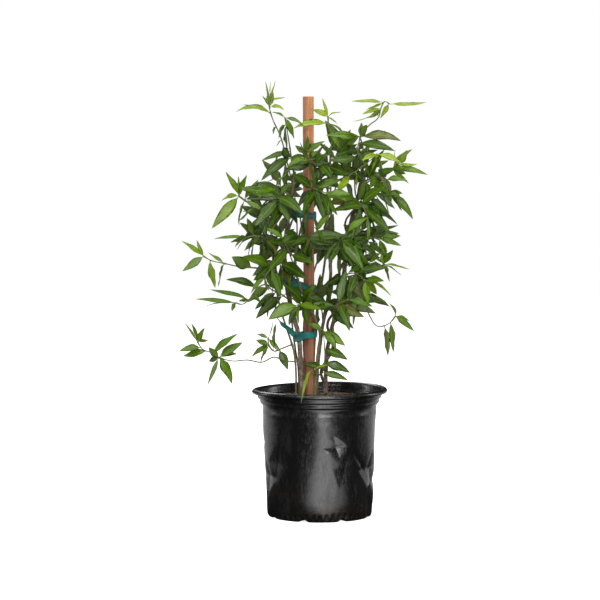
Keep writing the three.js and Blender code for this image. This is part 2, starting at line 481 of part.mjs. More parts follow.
// A band of tape: a flat ring round the stake, drawn out to an oval and tilted, joined to its loose tails.
function makeTie(name, tie) {
  const [halfX, halfY] = tie.half;
  const section = [
    [halfX, -tie.width / 2], [halfX + TAPE_THICKNESS, -tie.width / 2],
    [halfX + TAPE_THICKNESS, tie.width / 2], [halfX, tie.width / 2], [halfX, -tie.width / 2],
  ].map(([r, z]) => new THREE.Vector2(r, z));
  const ring = lathe(section, RING_SIDES).scale(1, halfY / halfX, 1);
  ring.rotateY(radians(tie.tilt)).translate(...tie.middle);
  const pieces = [toSolid(ring)];
  for (const tail of tie.tails) {
    const curve = new THREE.CatmullRomCurve3(tail.map(vec));
    const strip = new THREE.Shape();
    strip.moveTo(-TAPE_THICKNESS / 2, -tie.width / 3);
    strip.lineTo(TAPE_THICKNESS / 2, -tie.width / 3);
    strip.lineTo(TAPE_THICKNESS / 2, tie.width / 3);
    strip.lineTo(-TAPE_THICKNESS / 2, tie.width / 3);
    const drawnOut = { steps: TAIL_STEPS, extrudePath: curve, bevelEnabled: false };
    pieces.push(toSolid(new THREE.ExtrudeGeometry(strip, drawnOut)));
    addBalls(name, curve, TAIL_ROOM, TAIL_ROOM);
  }
  const around = new THREE.EllipseCurve(tie.middle[0], tie.middle[1], halfX, halfY);
  for (const p of around.getSpacedPoints(RING_BALLS)) {
    const lift = -Math.tan(radians(tie.tilt)) * (p.x - tie.middle[0]);
    for (const step of [-0.4, 0, 0.4]) {
      balls.push([p.x, p.y, tie.middle[2] + lift + step * tie.width, TAPE_ROOM, name]);
    }
  }
  addMesh(name, toGeometry(joinAll(pieces)), tieTape);
}

// A leaf's middle line: a bow from its foot to its tip, raised in the middle by its arch. Its face turns to
// the outside of the plant, or to the front where its twig points straight out.
const UPRIGHT = 0.05;
const EDGE_ON = 0.45;
function leafFrame(foot, tip, facing, arch) {
  const chord = tip.clone().sub(foot);
  const length = chord.length();
  const along = chord.clone().normalize();
  const outward = new THREE.Vector3(foot.x - STAKE.x, foot.y - STAKE.y, 0).normalize();
  const rise = UP.clone().addScaledVector(along, -UP.dot(along));
  if (rise.length() < UPRIGHT) rise.copy(outward);
  rise.normalize();
  const sideways = new THREE.Vector3().crossVectors(along, UP);
  if (sideways.length() < UPRIGHT) sideways.crossVectors(along, outward);
  sideways.normalize();
  const isEdgeOn = Math.abs(sideways.dot(outward)) < EDGE_ON;
  const lean = isEdgeOn ? sideways.dot(FRONT) : sideways.dot(outward);
  if (lean < 0) sideways.negate();
  const face = rise.clone().multiplyScalar(Math.cos(radians(facing)));
  face.addScaledVector(sideways, Math.sin(radians(facing)));
  const across = new THREE.Vector3().crossVectors(along, face).normalize();
  const middle = foot.clone().lerp(tip, 0.5).addScaledVector(rise, arch * length);
  return { curve: new THREE.QuadraticBezierCurve3(foot, middle, tip), across };
}

const leafHalfWidth = (width, s) => (width / 2) * Math.sin(Math.PI * s ** 0.8) ** 0.9;

// A leaf's solid: a three-sided tube drawn out along the middle line, its midrib below and its two sides
// folded up, and closed to a point at the tip.
function leafSolid({ curve, across }, width) {
  const geometry = new THREE.CylinderGeometry(0, 1, 1, 3, 2, false, Math.PI);
  const spots = geometry.attributes.position;
  for (let i = 0; i < spots.count; i += 1) {
    const x = spots.getX(i);
    const z = spots.getZ(i);
    const s = Math.min(Math.max(spots.getY(i) + 0.5, 0), 1);
    const radius = Math.hypot(x, z);
    const side = radius > 1e-6 ? Math.sign(Math.round(2 * x / radius)) : 0;
    const below = radius > 1e-6 && side === 0 ? 1 : 0;
    const tangent = curve.getTangent(s);
    const normal = new THREE.Vector3().crossVectors(across, tangent).normalize();
    const half = s > 0.99 ? 0 : Math.max(leafHalfWidth(width, s), LEAF_BOTTOM);
    const thick = s > 0.99 ? 0 : LEAF_THICKNESS;
    const p = curve.getPoint(s).addScaledVector(across, side * half);
    p.addScaledVector(normal, LEAF_FOLD * Math.abs(side) * half - below * thick);
    spots.setXYZ(i, p.x, p.y, p.z);
  }
  return toSolid(geometry);
}

// The balls that a leaf fills: three across its blade at each stop along it, as [x, y, z, radius].
const LEAF_STOPS = [0.12, 0.26, 0.4, 0.54, 0.68, 0.82, 0.95];
const LEAF_LANES = [-0.62, 0, 0.62];
const LANE_SHARE = 0.36;

function leafBalls(frame, width) {
  const filled = [];
  for (const s of LEAF_STOPS) {
    const half = leafHalfWidth(width, s);
    const middle = frame.curve.getPoint(s);
    const normal = new THREE.Vector3().crossVectors(frame.across, frame.curve.getTangent(s)).normalize();
    for (const lane of LEAF_LANES) {
      const p = middle.clone().addScaledVector(frame.across, lane * half);
      p.addScaledVector(normal, LEAF_FOLD * Math.abs(lane) * half);
      filled.push([p.x, p.y, p.z, LANE_SHARE * half + LEAF_MARGIN]);
    }
  }
  return filled;
}

// How far a leaf's balls stand clear of everything that isn't its own shoot's.
function clearance(filled, owner) {
  const centre = filled[Math.floor(filled.length / 2)];
  let least = Infinity;
  for (const ball of balls) {
    const apart = Math.max(...centre.slice(0, 3).map((value, axis) => Math.abs(value - ball[axis])));
    if (apart < NEAR_LEAF && ball[4] !== owner) {
      for (const own of filled) {
        const distance = Math.hypot(own[0] - ball[0], own[1] - ball[1], own[2] - ball[2]);
        least = Math.min(least, distance - own[3] - ball[3]);
      }
    }
  }
  return least;
}

// A leaf takes the first push that is clear; one that finds no room takes its best, if it has to be there.
function placeLeaf(owner, { foot, tip, width, facing, arch }, pushes, needed) {
  let best = null;
  for (const [pushY, pushZ] of pushes) {
    const pushed = tip.clone().add(new THREE.Vector3(0, pushY, pushZ));
    const frame = leafFrame(foot, pushed, facing, arch);
    const filled = leafBalls(frame, width);
    const room = clearance(filled, owner);
    if (!best || room > best.room) best = { frame, filled, room };
    if (room > 0) break;
  }
  if (best.room <= 0 && !needed) return null;
  for (const ball of best.filled) balls.push([...ball, owner]);
  return leafSolid(best.frame, width);
}

// A steady stream of numbers from 0 to 1.
let chance = 20;
function random() {
  chance = (chance * 1664525 + 1013904223) % 4294967296;
  return chance / 4294967296;
}

function twigCurve(stems, shoot) {
  const stem = stems[shoot.stem];
  const start = pointAtHeight(stem.curve, shoot.height);
  const toward = vec(shoot.route[0]).sub(start).normalize();
  const level = Math.hypot(toward.x, toward.y);
  start.addScaledVector(toward, (stem.radius + TWIG_CLEAR) / level + TWIG_RADIUS);
  return new THREE.CatmullRomCurve3([start, ...shoot.route.map(vec)], false, "centripetal");
}

// How leaves grow in the crown: the first pair's place and the share of the twig that pairs take, how far a
// pair may swing, and the least and the spread of a leaf's length, facing, width and arch. The pair at the
// tip is smaller and points more forward. All droop a little.
const GROWTH = {
  firstPair: 0.2,
  pairShare: 0.72,
  swing: 50,
  length: [0.8, 0.4],
  facing: [45, 42],
  width: [0.28, 0.1],
  arch: [0.02, 0.13],
  tipLength: 0.75,
  tipForward: 1.1,
  forward: 0.45,
  droop: 0.28,
};
const drawn = ([least, spread]) => least + spread * random();

// The leaves of a shoot in the crown: opposite pairs along the twig and a small pair at its tip.
function grownLeaves(shoot, curve, nodeAt) {
  const leaves = [];
  for (let pair = 0; pair <= shoot.pairs; pair += 1) {
    const atTip = pair === shoot.pairs;
    const place = nodeAt(atTip ? 1 : GROWTH.firstPair + (GROWTH.pairShare * pair) / shoot.pairs);
    const foot = curve.getPointAt(place);
    const forward = curve.getTangentAt(place);
    const level = new THREE.Vector3().crossVectors(forward, UP).normalize();
    const lift = new THREE.Vector3().crossVectors(level, forward);
    const angle = radians(shoot.turn + 90 * pair + GROWTH.swing * (random() - 0.5));
    for (const side of [1, -1]) {
      const reach = shoot.leaf * drawn(GROWTH.length) * (atTip ? GROWTH.tipLength : 1);
      const facing = drawn(GROWTH.facing);
      const width = reach * drawn(GROWTH.width);
      const arch = drawn(GROWTH.arch);
      const aim = level.clone().multiplyScalar(side * Math.cos(angle));
      aim.addScaledVector(lift, side * Math.sin(angle));
      aim.addScaledVector(forward, atTip ? GROWTH.tipForward : GROWTH.forward);
      aim.addScaledVector(UP, -GROWTH.droop);
      leaves.push({ foot, tip: foot.clone().addScaledVector(aim.normalize(), reach), width, facing, arch });
    }
  }
  return leaves;
}

function listedLeaves(shoot, curve, nodeAt) {
  return shoot.leaves.map(([place, x, y, z, width, facing, arch]) => (
    { foot: curve.getPointAt(nodeAt(place)), tip: vec([x, y, z]), width, facing, arch }));
}

function makeShoot(name, shoot, curve) {
  const steps = Math.ceil(curve.getLength() / TWIG_STEP);
  const pieces = [toSolid(tube(curve, TWIG_RADIUS, TWIG_SIDES, steps))];
  const nodeAt = (place) => Math.round(place * steps) / steps;
  for (const leaf of shoot.leaves ? listedLeaves(shoot, curve, nodeAt) : []) {
    pieces.push(placeLeaf(name, leaf, PUSHES, true));
  }
  for (const leaf of shoot.pairs ? grownLeaves(shoot, curve, nodeAt) : []) {
    const solid = placeLeaf(name, leaf, GROWN_PUSHES, false);
    if (solid) pieces.push(solid);
  }
  addMesh(name, toGeometry(joinAll(pieces)), leafGreen);
}

// Stems.
const smoothCurve = (points) => new THREE.CatmullRomCurve3(points, false, "centripetal");
const stems = {};
for (const [name, stem] of Object.entries(STEMS)) {
  stems[name] = { radius: stem.radius, curve: smoothCurve(stem.route.map(vec)) };
}
const twinePoints = [];
for (let i = 0; i <= TWINE.steps; i += 1) {
  const place = TWINE.from + ((TWINE.to - TWINE.from) * i) / TWINE.steps;
  const centre = stems[TWINE.around].curve.getPointAt(place);
  const angle = radians(TWINE.start) + (2 * Math.PI * (centre.z - STEM_ROOT)) / TWINE.pitch;
  const outward = new THREE.Vector3(Math.cos(angle), Math.sin(angle), 0);
  twinePoints.push(centre.addScaledVector(outward, TWINE.reach));
}
stems.stem_twining = { radius: TWINE.radius, curve: smoothCurve(twinePoints) };

const soilHoles = [toSolid(stakeBox(2 * GAP))];
for (const [name, stem] of Object.entries(stems)) {
  const steps = Math.ceil(stem.curve.getLength() / STEM_STEP);
  const bark = stem.radius > YOUNG_STEM ? brownBark : greenBark;
  addMesh(name, tube(stem.curve, stem.radius, STEM_SIDES, steps), bark);
  soilHoles.push(stemHole(stem));
  addBalls(name, stem.curve, stem.radius + STEM_MARGIN, STEM_SPACING);
}
const stakeLine = new THREE.LineCurve3(vec([STAKE.x, STAKE.y, SOIL_TOP]), vec([STAKE.x, STAKE.y, STAKE.top]));
addBalls("stake", stakeLine, STAKE_ROOM, STAKE_SPACING);

makePot();
makeSoil(soilHoles);
addMesh("stake", stakeBox(0), redwood);
for (const [name, tie] of Object.entries(TIES)) makeTie(name, tie);

const twigs = {};
for (const [name, shoot] of Object.entries({ ...SHOOTS, ...GROWN })) {
  twigs[name] = { shoot, curve: twigCurve(stems, shoot) };
  addBalls(name, twigs[name].curve, TWIG_RADIUS + TWIG_MARGIN, TWIG_SPACING);
}
for (const [name, { shoot, curve }] of Object.entries(twigs)) makeShoot(name, shoot, curve);

export default root;
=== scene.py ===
# %% [markdown]
# # A potted Carolina jasmine
# A young twining vine is tied to a square redwood stake, in a thin black nursery pot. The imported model
# gives every piece its place; this script gives every piece its surface and its finish. It builds each
# shape as whole numpy arrays: a profile carried along a path, or a grid worked out from two parameters.

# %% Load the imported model
import json

import bpy
import numpy as np
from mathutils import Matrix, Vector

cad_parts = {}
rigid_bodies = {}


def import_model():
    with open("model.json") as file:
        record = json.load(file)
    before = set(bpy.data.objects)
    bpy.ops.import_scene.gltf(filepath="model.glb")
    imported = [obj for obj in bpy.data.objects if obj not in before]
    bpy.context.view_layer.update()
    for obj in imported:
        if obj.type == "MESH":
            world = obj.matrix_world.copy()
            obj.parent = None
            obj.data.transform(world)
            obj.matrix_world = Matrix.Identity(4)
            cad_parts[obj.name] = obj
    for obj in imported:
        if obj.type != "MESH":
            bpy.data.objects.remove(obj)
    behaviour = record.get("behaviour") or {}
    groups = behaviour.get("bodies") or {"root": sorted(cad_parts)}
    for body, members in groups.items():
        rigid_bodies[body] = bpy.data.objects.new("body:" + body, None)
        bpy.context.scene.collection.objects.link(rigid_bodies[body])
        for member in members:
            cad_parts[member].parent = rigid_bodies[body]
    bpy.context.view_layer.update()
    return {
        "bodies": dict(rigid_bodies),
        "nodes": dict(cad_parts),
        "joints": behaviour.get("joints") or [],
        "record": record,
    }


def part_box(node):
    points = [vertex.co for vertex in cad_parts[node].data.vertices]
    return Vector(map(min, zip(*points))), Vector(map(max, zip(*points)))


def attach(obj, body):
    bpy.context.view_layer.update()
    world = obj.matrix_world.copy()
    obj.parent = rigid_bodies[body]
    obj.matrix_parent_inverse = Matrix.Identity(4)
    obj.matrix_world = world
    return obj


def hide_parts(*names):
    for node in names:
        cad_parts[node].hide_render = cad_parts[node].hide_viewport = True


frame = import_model()
MM = 0.001
rng = np.random.default_rng(7)

# %% [markdown]
# The camera stands a little above the pot's rim and a good three metres off, as a product photographer
# would, with a long lens that keeps the pot's sides nearly parallel. It is made first, because every
# later choice of detail is judged through it.

# %% Camera
FIELD_WIDTH = 0.733
CAMERA_DISTANCE = 3.1
CAMERA_HEIGHT = 0.48
LOOK_AT = np.array([-0.024, 0.0, 0.265])
camera_data = bpy.data.cameras.new("camera")
camera = bpy.data.objects.new("camera", camera_data)
bpy.context.scene.collection.objects.link(camera)
bpy.context.scene.camera = camera
camera.location = (LOOK_AT[0], -CAMERA_DISTANCE, CAMERA_HEIGHT)
drop = CAMERA_HEIGHT - LOOK_AT[2]
camera.rotation_euler = (np.pi / 2 - np.arctan2(drop, CAMERA_DISTANCE), 0, 0)
camera_data.angle = 2 * np.arctan2(FIELD_WIDTH / 2, np.hypot(CAMERA_DISTANCE, drop))
print("field of view, degrees", round(float(np.degrees(camera_data.angle)), 2))

# %% [markdown]
# A white sweep of paper lies under and behind a studio subject. Here it is one pale floor, with a white
# world above it: the camera sees white, while the plant is lit by a dimmer grey sky, and glossy things
# reflect a sky that is almost black, so that a black pot still reads black. Six soft boxes shape the leaves.

# %% Floor, world and lights
FLOOR_SIZE = 8.0
SKY_SEEN, SKY_LIGHT, SKY_GLOSS = 1.0, 0.42, 0.05
# Each lamp's place, the point it faces, its size and its power in watts.
LAMPS = {
    "key": ((-1.3, -2.2, 2.0), (0, 0, 0.35), (1.1, 1.1), 60),
    "front": ((0.3, -1.6, 0.42), (0, 0, 0.3), (0.75, 0.8), 22),
    "rim_right": ((1.6, 0.35, 0.6), (0, 0, 0.15), (0.5, 1.1), 9),
    "rim_left": ((-1.6, 0.5, 0.6), (0, 0, 0.15), (0.3, 1.1), 5),
    "back": ((-0.8, 1.8, 1.8), (0, 0, 0.35), (1.2, 1.0), 26),
    "top": ((0.2, -0.3, 2.4), (0, 0, 0.3), (1.2, 1.2), 34),
}
floor_mesh = bpy.data.meshes.new("floor")
half = FLOOR_SIZE / 2
floor_corners = [(-half, -half, 0), (half, -half, 0), (half, half, 0), (-half, half, 0)]
floor_mesh.from_pydata(floor_corners, [], [(0, 1, 2, 3)])
floor = bpy.data.objects.new("floor", floor_mesh)
bpy.context.scene.collection.objects.link(floor)


def area_light(name, place, aim, size, power):
    """A soft box at a place, turned so that it faces the aim."""
    light = bpy.data.lights.new(name, "AREA")
    light.shape = "RECTANGLE"
    light.size, light.size_y = size
    light.energy = power
    lamp = bpy.data.objects.new(name, light)
    bpy.context.scene.collection.objects.link(lamp)
    lamp.location = place
    direction = np.array(aim) - np.array(place)
    yaw = np.arctan2(direction[1], direction[0]) - np.pi / 2
    pitch = np.arctan2(np.hypot(direction[0], direction[1]), -direction[2])
    lamp.rotation_euler = (pitch, 0, yaw)
    lamp.visible_camera = False


for name, setting in LAMPS.items():
    area_light(name, *setting)

world = bpy.data.worlds.new("studio")
bpy.context.scene.world = world
world.use_nodes = True
sky = world.node_tree
sky.nodes.clear()
sky_out = sky.nodes.new("ShaderNodeOutputWorld")
sky_mix = sky.nodes.new("ShaderNodeMixShader")
sky_seen = sky.nodes.new("ShaderNodeBackground")
sky_light = sky.nodes.new("ShaderNodeBackground")
sky_path = sky.nodes.new("ShaderNodeLightPath")
sky_gloss = sky.nodes.new("ShaderNodeBackground")
sky_either = sky.nodes.new("ShaderNodeMixShader")
for background, strength in ((sky_seen, SKY_SEEN), (sky_light, SKY_LIGHT), (sky_gloss, SKY_GLOSS)):
    background.inputs["Color"].default_value = (1, 1, 1, 1)
    background.inputs["Strength"].default_value = strength
sky.links.new(sky_path.outputs["Is Glossy Ray"], sky_either.inputs["Fac"])
sky.links.new(sky_light.outputs["Background"], sky_either.inputs[1])
sky.links.new(sky_gloss.outputs["Background"], sky_either.inputs[2])
sky.links.new(sky_path.outputs["Is Camera Ray"], sky_mix.inputs["Fac"])
sky.links.new(sky_either.outputs["Shader"], sky_mix.inputs[1])
sky.links.new(sky_seen.outputs["Background"], sky_mix.inputs[2])
sky.links.new(sky_mix.outputs["Shader"], sky_out.inputs["Surface"])
bpy.context.scene.view_settings.view_transform = "Standard"
print("lights", len(bpy.data.lights))

# %% [markdown]
# ## Curves and surfaces
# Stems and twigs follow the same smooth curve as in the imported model: a centripetal Catmull-Rom curve,
# which passes through each of its points and never loops between close ones. Places on it are counted by
# length, from 0 at its start to 1 at its end.

# %% Curves
CURVE_STEPS = 200


def unit(vectors):
    """Vectors divided by their own length."""
    return vectors / np.maximum(np.linalg.norm(vectors, axis=-1, keepdims=True), 1e-12)


def curve_at(route, t):
    """Centripetal Catmull-Rom: on each span, a cubic through its two ends whose end slopes are weighted by
    the square roots of the distances between the four points about it. t runs 0 to 1, span by span."""
    points = np.asarray(route, float)
    first = 2 * points[0] - points[1]
    last = 2 * points[-1] - points[-2]
    padded = np.vstack([first, points, last])
    spans = len(points) - 1
    place = np.clip(np.asarray(t, float), 0, 1) * spans
    span = np.minimum(place.astype(int), spans - 1)
    w = (place - span)[:, None]
    p0, p1, p2, p3 = (padded[span + k] for k in range(4))
    pairs = ((p0, p1), (p1, p2), (p2, p3))
    d0, d1, d2 = (np.sqrt(np.linalg.norm(b - a, axis=1, keepdims=True)) for a, b in pairs)
    slope1 = ((p1 - p0) / d0 - (p2 - p0) / (d0 + d1) + (p2 - p1) / d1) * d1
    slope2 = ((p2 - p1) / d1 - (p3 - p1) / (d1 + d2) + (p3 - p2) / d2) * d1
    c2 = -3 * p1 + 3 * p2 - 2 * slope1 - slope2
    c3 = 2 * p1 - 2 * p2 + slope1 + slope2
    return p1 + slope1 * w + c2 * w**2 + c3 * w**3


def along(route, places):
    """Points and unit directions at places counted by length, 0 to 1."""
    t = np.linspace(0, 1, CURVE_STEPS + 1)
    knots = curve_at(route, t)
    lengths = np.concatenate([[0], np.cumsum(np.linalg.norm(np.diff(knots, axis=0), axis=1))])
    here = np.interp(np.asarray(places, float) * lengths[-1], lengths, t)
    nudge = 1e-4
    ahead = curve_at(route, np.minimum(here + nudge, 1))
    behind = curve_at(route, np.maximum(here - nudge, 0))
    return curve_at(route, here), unit(ahead - behind), lengths[-1]


# %% [markdown]
# Every stem, twig, leaf and strip is the same kind of surface: rings of points carried along a line and
# closed at both ends. One function turns a stack of such ring grids into a single mesh. It also lays each
# of them out in a rectangle of its own in a second UV map, so that a finish can be baked without waste.

# %% Ring grids into meshes
def grid_faces(rings, around, closed_path):
    """Corner numbers of the quads of one ring grid, and of the two end faces when its path is open."""
    spans = rings if closed_path else rings - 1
    i, j = np.meshgrid(np.arange(spans), np.arange(around), indexing="ij")
    i, j = i.ravel(), j.ravel()
    i2, j2 = (i + 1) % rings, (j + 1) % around
    quads = np.stack([i * around + j, i * around + j2, i2 * around + j2, i2 * around + j], axis=1)
    u = np.stack([i, i, i + 1, i + 1], axis=1) / spans
    v = np.stack([j, j + 1, j + 1, j], axis=1) / around
    return quads, u, v


class Shape:
    """Mesh arrays being gathered for one piece: corners, faces, atlas places, materials and attributes."""

    def __init__(self):
        self.points, self.faces, self.uvs, self.slots = [], [], [], []
        self.attributes = {}
        self.count = 0
        self.cells = 0

    def add(self, grids, slot=0, closed_path=False, **attributes):
        """Adds ring grids, an array of shape (pieces, rings, around, 3) whose rings turn counter-clockwise
        about the path. Each attribute is an array of shape (pieces, rings, around, 3)."""
        pieces, rings, around, _ = grids.shape
        quads, u, v = grid_faces(rings, around, closed_path)
        for piece in range(pieces):
            self.faces.extend((quads + self.count).tolist())
            self.uvs.append((self.cells, np.stack([u, v], axis=-1).reshape(-1, 2)))
            self.slots.extend([slot] * len(quads))
            if not closed_path:
                ring = np.arange(around)
                turn = 2 * np.pi * ring / around
                disc = 0.004 * np.stack([np.cos(turn), np.sin(turn)], axis=1) + 0.005
                for corners in ((ring[::-1] + self.count), ring + self.count + (rings - 1) * around):
                    self.faces.append(corners.tolist())
                    self.uvs.append((self.cells, disc))
                    self.slots.append(slot)
            self.count += rings * around
            self.cells += 1
        self.points.append(grids.reshape(-1, 3))
        for name in set(attributes) | set(self.attributes):
            values = attributes.get(name, np.zeros(grids.shape)).reshape(-1, 3)
            before = self.attributes.get(name, np.zeros((self.count - len(values), 3)))
            self.attributes[name] = np.vstack([before, values])

    def build(self, name, materials, slot, replaces=(), smooth=True):
        """Makes the object: it rides on the one body, and stands for the nodes that it replaces."""
        mesh = bpy.data.meshes.new(name)
        mesh.from_pydata(np.vstack(self.points), [], self.faces)
        for material in materials:
            mesh.materials.append(material)
        mesh.polygons.foreach_set("material_index", self.slots)
        mesh.polygons.foreach_set("use_smooth", [smooth] * len(self.faces))
        columns = int(np.ceil(np.sqrt(self.cells)))
        rows = int(np.ceil(self.cells / columns))
        margin = 0.06
        atlas = []
        for cell, uv in self.uvs:
            corner = np.array([cell % columns, cell // columns])
            atlas.append((corner + margin / 2 + uv * (1 - margin)) / np.array([columns, rows]))
        layer = mesh.uv_layers.new(name="OFBake")
        layer.data.foreach_set("uv", np.vstack(atlas).ravel())
        for key, values in self.attributes.items():
            attribute = mesh.attributes.new(key, "FLOAT_VECTOR", "POINT")
            attribute.data.foreach_set("vector", values.ravel())
        mesh.update()
        piece = bpy.data.objects.new(name, mesh)
        bpy.context.scene.collection.objects.link(piece)
        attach(piece, "root")
        if replaces:
            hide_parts(*replaces)
        return piece


def tube_rings(points, directions, radii, around, roughness=0.0, seed=0):
    """Rings about a path: at each point a circle square to the direction, its radius varied by a few
    waves round and along it. Returns the rings and their attribute (length along, turn, radius)."""
    reference = np.eye(3)[np.argmin(np.abs(directions).max(axis=0))]
    side = unit(np.cross(directions, reference))
    other = np.cross(directions, side)
    turn = 2 * np.pi * np.arange(around) / around
    run = np.concatenate([[0], np.cumsum(np.linalg.norm(np.diff(points, axis=0), axis=1))])
    wave = np.sin(3 * turn[None] + 0.9 * run[:, None] + seed) * np.sin(0.23 * run[:, None] + 2 * seed)
    wave += 0.6 * np.sin(5 * turn[None] - 0.5 * run[:, None] + 3 * seed)
    radius = np.asarray(radii).reshape(-1, 1) * (1 + roughness * wave)
    ring = np.cos(turn)[None, :, None] * side[:, None] + np.sin(turn)[None, :, None] * other[:, None]
    rings = points[:, None] + radius[..., None] * ring
    info = np.stack(np.broadcast_arrays(run[:, None], turn[None] / (2 * np.pi), radius), axis=-1)
    return rings, info

# %% [markdown]
# ## The plant's plan
# A twining vine is easiest to describe as routes. Each stem is a line of points from the soil up, and each
# leafy shoot is a twig that leaves a stem at a height. The shoots at the plant's edge have every leaf
# listed, because the eye reads an outline leaf by leaf. Those in the body of the crown grow by a rule.

# %% Stems, ties and shoots, in millimetres
STEM_ROOT = 138.0
STEMS = dict(
  stem_left=dict(radius=3, route=[[-22, -9, STEM_ROOT], [-22, -9, 170], [-24, -7.5, 200], [-26, -5, 222],
    [-33, -2, 250], [-40, 0, 283], [-43, 0, 325], [-39, -3, 360], [-33, -5, 395], [-30, -6, 422]]),
  stem_dark_outer=dict(radius=1.3, route=[[-29, 0, STEM_ROOT], [-29, 0, 180], [-32, 4, 203], [-38, 7, 222],
    [-47, 9, 250], [-53, 10, 280], [-57, 8, 310], [-59, 4, 340], [-61, 0, 365]]),
  stem_dark_inner=dict(radius=1.2, route=[[-25, 8, STEM_ROOT], [-26, 9, 180], [-30, 11, 205],
    [-33, 13, 225], [-35, 16, 260], [-32, 18, 300], [-28, 18, 340], [-29, 17, 380], [-34, 13, 412]]),
  stem_dark_back=dict(radius=1.2, route=[[-17, 13, STEM_ROOT], [-18, 14, 180], [-20, 17, 218],
    [-18, 19, 250], [-9, 20, 290], [3, 18, 330], [11, 13, 370], [14, 7, 410], [13, 3, 440]]),
  stem_right=dict(radius=2.2, route=[[-4, 5, STEM_ROOT], [-3, 5, 175], [0, 4, 205], [3, 2, 228],
    [8, -2, 255], [13, -5, 290], [12, -8, 320], [9, -10, 350], [9, -10, 385], [11, -8, 420],
      [13, -7, 445]]),
  stem_tan=dict(radius=1.6, route=[[-6, -8, STEM_ROOT], [-4, -9, 180], [-2, -10, 205], [0, -11, 224],
    [-7, -14, 246], [-16, -16.5, 264], [-24, -17, 283], [-29, -14, 306], [-27, -13, 335], [-20, -17, 365],
    [-10, -18, 395], [-6, -18, 425]]),
  stem_old=dict(radius=2.6, route=[[7, 14, STEM_ROOT], [8, 14, 175], [10, 12, 205], [16, 9, 235],
    [23, 7, 262], [29, 4, 290], [32, 2, 320], [34, 2, 345], [41, 2, 372], [47, 1, 395], [52, 0, 420],
    [55, 0, 440]]),
  stem_back=dict(radius=1.6, route=[[-7, 20, STEM_ROOT], [-7, 22, 190], [-4, 27, 240], [4, 31, 290],
    [10, 30, 340], [17, 24, 385], [23, 17, 425]]),
)

TWINE = {"around": "stem_old", "radius": 1.8, "reach": 6.3, "pitch": 62,
         "from": 0.07, "to": 0.86, "start": 325}

TIES = dict(
  tie_low=dict(middle=[-17, -2, 222], half=[13.5, 12.5], width=10, tilt=-12,
    tails=[[[-30, -8, 222], [-38, -17, 231], [-46, -22, 238], [-52, -22, 245]]]),
  tie_middle=dict(middle=[-25.5, -1, 284], half=[20.8, 11.5], width=8, tilt=14,
    tails=[[[-30, -13, 289], [-38, -19, 296], [-45, -25, 288], [-48, -25, 277]],
      [[-34, -12.4, 287], [-27, -24, 300], [-34, -27, 290], [-40, -28, 279]]]),
  tie_upper=dict(middle=[-24.5, -1.5, 370], half=[19.6, 11.3], width=9, tilt=6,
    tails=[[[-33, -11.5, 370], [-34, -19, 374], [-37, -22, 364]]]),
)

